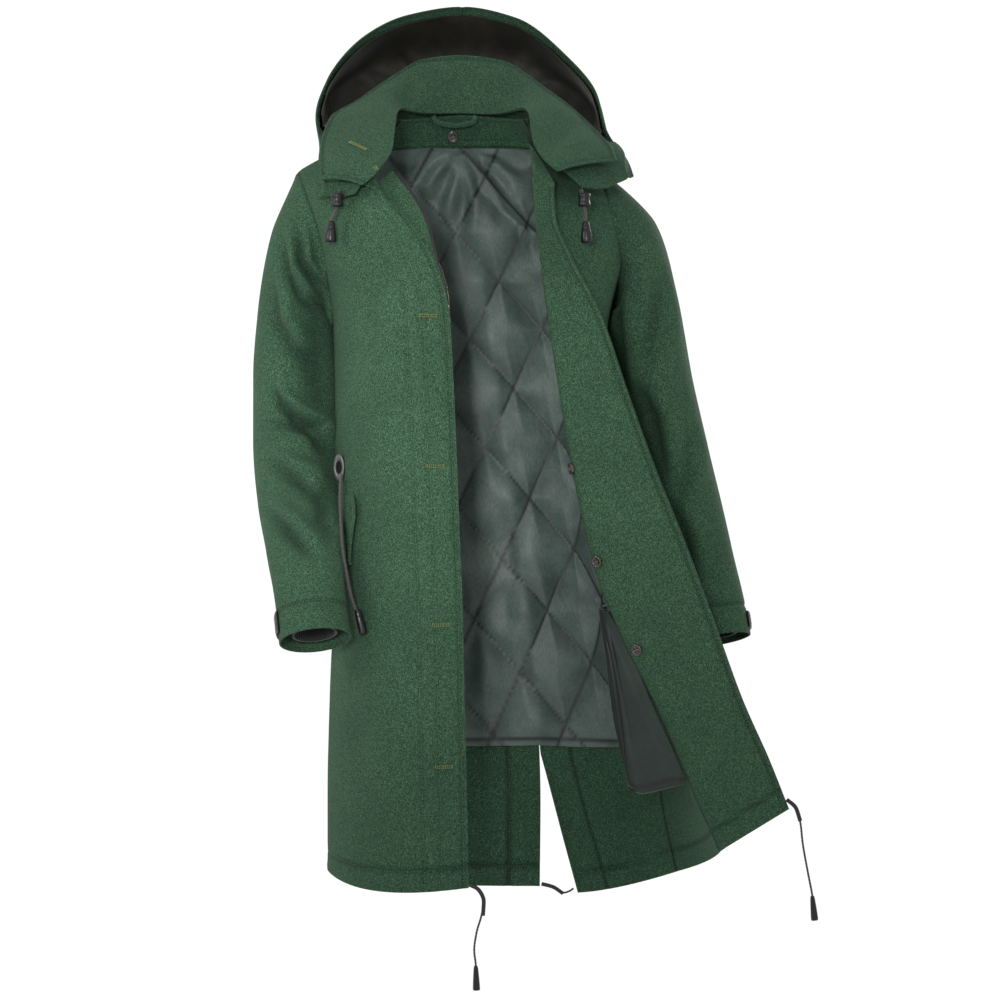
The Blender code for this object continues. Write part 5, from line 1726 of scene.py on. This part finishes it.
# Moulded plastic, polished in the tool: black with clear reflections and faint handling marks
gloss, tree, shader, marks = mottled(
    "moulded_plastic_black",
    {"Roughness": 0.4, "Specular IOR Level": 0.25, "Coat Weight": 0.08, "Coat Roughness": 0.2},
    grain=6, detail=5.0, deep="#0a090a", light="#171416")
wear = ranged(tree, marks, 0.0, 1.0, **{"To Min": 0.3, "To Max": 0.5})
tree.links.new(wear, shader.inputs["Roughness"])

# Turned shapes by radius and height from the lower end up, in millimetres
BELL = [(5.6, 0.0), (7.0, 0.7), (7.5, 2.5), (7.3, 7.0), (6.5, 13.0), (5.9, 16.5), (5.2, 17.4), (5.6, 18.6),
        (5.0, 20.0), (4.4, 24.0), (4.0, 26.2), (3.0, 27.0)]
STOPPER = [(5.8, 0.0), (7.4, 0.8), (8.0, 2.6), (7.5, 5.0), (7.0, 7.0), (6.9, 9.0), (7.1, 11.0), (7.7, 13.4),
           (7.9, 15.0), (7.2, 16.4), (5.6, 17.0)]
TAG = [(3.0, 0.0), (4.3, 0.6), (4.6, 2.4), (4.3, 9.0), (3.9, 15.0), (3.4, 22.0), (3.0, 27.0), (2.2, 31.0)]
WAIST_END = [(4.2, 0.0), (5.3, 0.7), (5.5, 3.0), (5.3, 12.0), (4.9, 20.0), (4.6, 22.0), (4.9, 23.6),
             (4.4, 26.0), (4.2, 30.0), (3.2, 31.0)]
TURNED_SIDES = 40
TURNED_ANGLE = 0.9
STOPPER_ABOVE = (0.0, 0.0, 18.0)
WAIST_END_ABOVE = (0.0, 0.0, 4.0)

# Ways in which the ends hang
DOWN = (0.0, 0.0, -1.0)
WAIST_END_WAY = (0.25, 0.0, -1.0)


# A disc raised step by step along its profile, then stood under its upper end along its way
def turned(name, profile, top, way):
    bpy.ops.object.select_all(action="DESELECT")
    bpy.ops.mesh.primitive_circle_add(vertices=TURNED_SIDES, radius=profile[0][0] * MM, fill_type="NGON")
    piece = bpy.context.object
    piece.name = name
    bpy.ops.object.mode_set(mode="EDIT")
    bpy.ops.mesh.select_all(action="SELECT")
    for (radius, height), (next_radius, next_height) in zip(profile[:-1], profile[1:]):
        rise = (0.0, 0.0, (next_height - height) * MM)
        bpy.ops.mesh.extrude_region_move(TRANSFORM_OT_translate={"value": rise})
        bpy.ops.transform.resize(value=(next_radius / radius, next_radius / radius, 1.0))
    bpy.ops.object.mode_set(mode="OBJECT")
    face_out()
    way = Vector(way).normalized()
    turn = (-way).to_track_quat("Z", "Y").to_matrix().to_4x4()
    foot = Vector(top) * MM + way * profile[-1][1] * MM
    piece.data.transform(Matrix.Translation(foot) @ turn)
    bpy.ops.object.shade_smooth_by_angle(angle=TURNED_ANGLE)
    return piece


# Leather strap along its run, folded round the cord
def leather_strap(name, run):
    strap = sweep(name + "_leather", run, STRAP_WIDE, STRAP_THICK, STRAP_STEPS, STRAP_SIDES)[0]
    return give(strap, name, leather)


# Braided cord along its run, handed over with its line and its length
def braided(name, run, diameter):
    piece, line, length = sweep(name + "_braid", run, diameter, diameter, CORD_STEPS * (len(run) - 1),
                                CORD_SIDES, BRAID, diameter * BRAID_PITCH)
    give(piece, name, cord_braid)
    return piece, line, length


# Braided cord from where it leaves the coat
def free_cord(name, run, diameter):
    piece, line, length = braided(name, run, diameter)


for side, run, bell_way in (("right", HOOD_CORD_RIGHT_RUN, (-0.05, 0.0, -1.0)),
                            ("left", HOOD_CORD_LEFT_RUN, (0.05, 0.0, -1.0))):
    stopper = turned("hood_stopper_%s_barrel" % side, STOPPER, np.array(run[2]) + STOPPER_ABOVE, DOWN)
    give(stopper, "hood_stopper_" + side, gloss)
    bell = turned("hood_cord_end_%s_bell" % side, BELL, run[4], bell_way)
    give(bell, "hood_cord_end_" + side, gloss)
    free_cord("hood_cord_" + side, run, CORD)

waist_foot = np.array(WAIST_CORD_RUN[-1]) + WAIST_END_ABOVE
waist_end = turned("waist_cord_end_moulded", WAIST_END, waist_foot, WAIST_END_WAY)
give(waist_end, "waist_cord_end", gloss)
free_cord("waist_cord", WAIST_CORD_RUN, CORD)

for side, strap_run, run, way in (("right", HEM_STRAP_RIGHT_RUN, HEM_CORD_RIGHT_RUN, (0.03, 0.0, -1.0)),
                                  ("left", HEM_STRAP_LEFT_RUN, HEM_CORD_LEFT_RUN, (0.1, 0.0, -1.0))):
    strap = leather_strap("hem_strap_" + side, strap_run)
    tag = turned("hem_cord_end_%s_moulded" % side, TAG, run[-2], way)
    give(tag, "hem_cord_end_" + side, gloss)
    free_cord("hem_cord_" + side, run, THIN_CORD)

vent_strap = leather_strap("vent_strap", VENT_STRAP_RUN)
vent_cord, line, length = braided("vent_cord", VENT_CORD_RUN, THIN_CORD)

# The scene: a pale floor in a white studio, even light from all round with lamps at the left, in
# front and behind, and a level camera straight ahead of the middle between neck and hem.
FLOOR_LEVEL = -1.3
FLOOR_SIZE = 60.0
PAPER_GRAIN = 1000 / 3
bpy.ops.object.select_all(action="DESELECT")
bpy.ops.mesh.primitive_plane_add(size=FLOOR_SIZE)
floor = bpy.context.object
floor.name = "floor"
floor.data.transform(Matrix.Translation((0.0, 0.0, FLOOR_LEVEL)))
paper = mottled("matt_paper_white", {"Roughness": 0.95, "Specular IOR Level": 0.1},
                grain=PAPER_GRAIN, detail=2.0, deep="#fcfcfc", light="#fefefe")[0]
floor.data.materials.append(paper)

CAMERA_AT = (0.0494, -4.5, -0.4355)
CAMERA_LENS = 124.6
SENSOR = 36.0
lens = bpy.data.cameras.new("camera")
lens.lens = CAMERA_LENS
lens.sensor_width = SENSOR
camera = bpy.data.objects.new("camera", lens)
camera.location = CAMERA_AT
camera.rotation_euler = (pi / 2, 0.0, 0.0)
bpy.context.scene.collection.objects.link(camera)
bpy.context.scene.camera = camera

# Lamp: place, size, power, aim, spread in degrees
LAMPS = {
    "key": ((-2.3, -1.4, 0.45), 0.5, 1.4, (-0.3, -0.1, -0.15), 44.0),
    "front": ((-0.5, -4.0, 0.1), 0.5, 1.9, (-0.15, 0.0, -0.33), 17.0),
    "behind": ((1.9, 2.8, 0.8), 0.8, 5.0, (0.05, 0.1, -0.4), 60.0),
}
for name, (stand, size, power, aim, spread) in LAMPS.items():
    lamp = bpy.data.lights.new(name, "AREA")
    lamp.size = size
    lamp.energy = power
    lamp.spread = spread * pi / 180
    holder = bpy.data.objects.new(name, lamp)
    holder.location = stand
    holder.rotation_euler = (Vector(aim) - Vector(stand)).to_track_quat("-Z", "Y").to_euler()
    bpy.context.scene.collection.objects.link(holder)
SKY_STRENGTH = 1.05
sky = bpy.data.worlds.new("studio")
sky.use_nodes = True
sky.node_tree.nodes["Background"].inputs["Color"].default_value = (1.0, 1.0, 1.0, 1.0)
sky.node_tree.nodes["Background"].inputs["Strength"].default_value = SKY_STRENGTH
bpy.context.scene.world = sky
bpy.context.scene.view_settings.view_transform = "Standard"
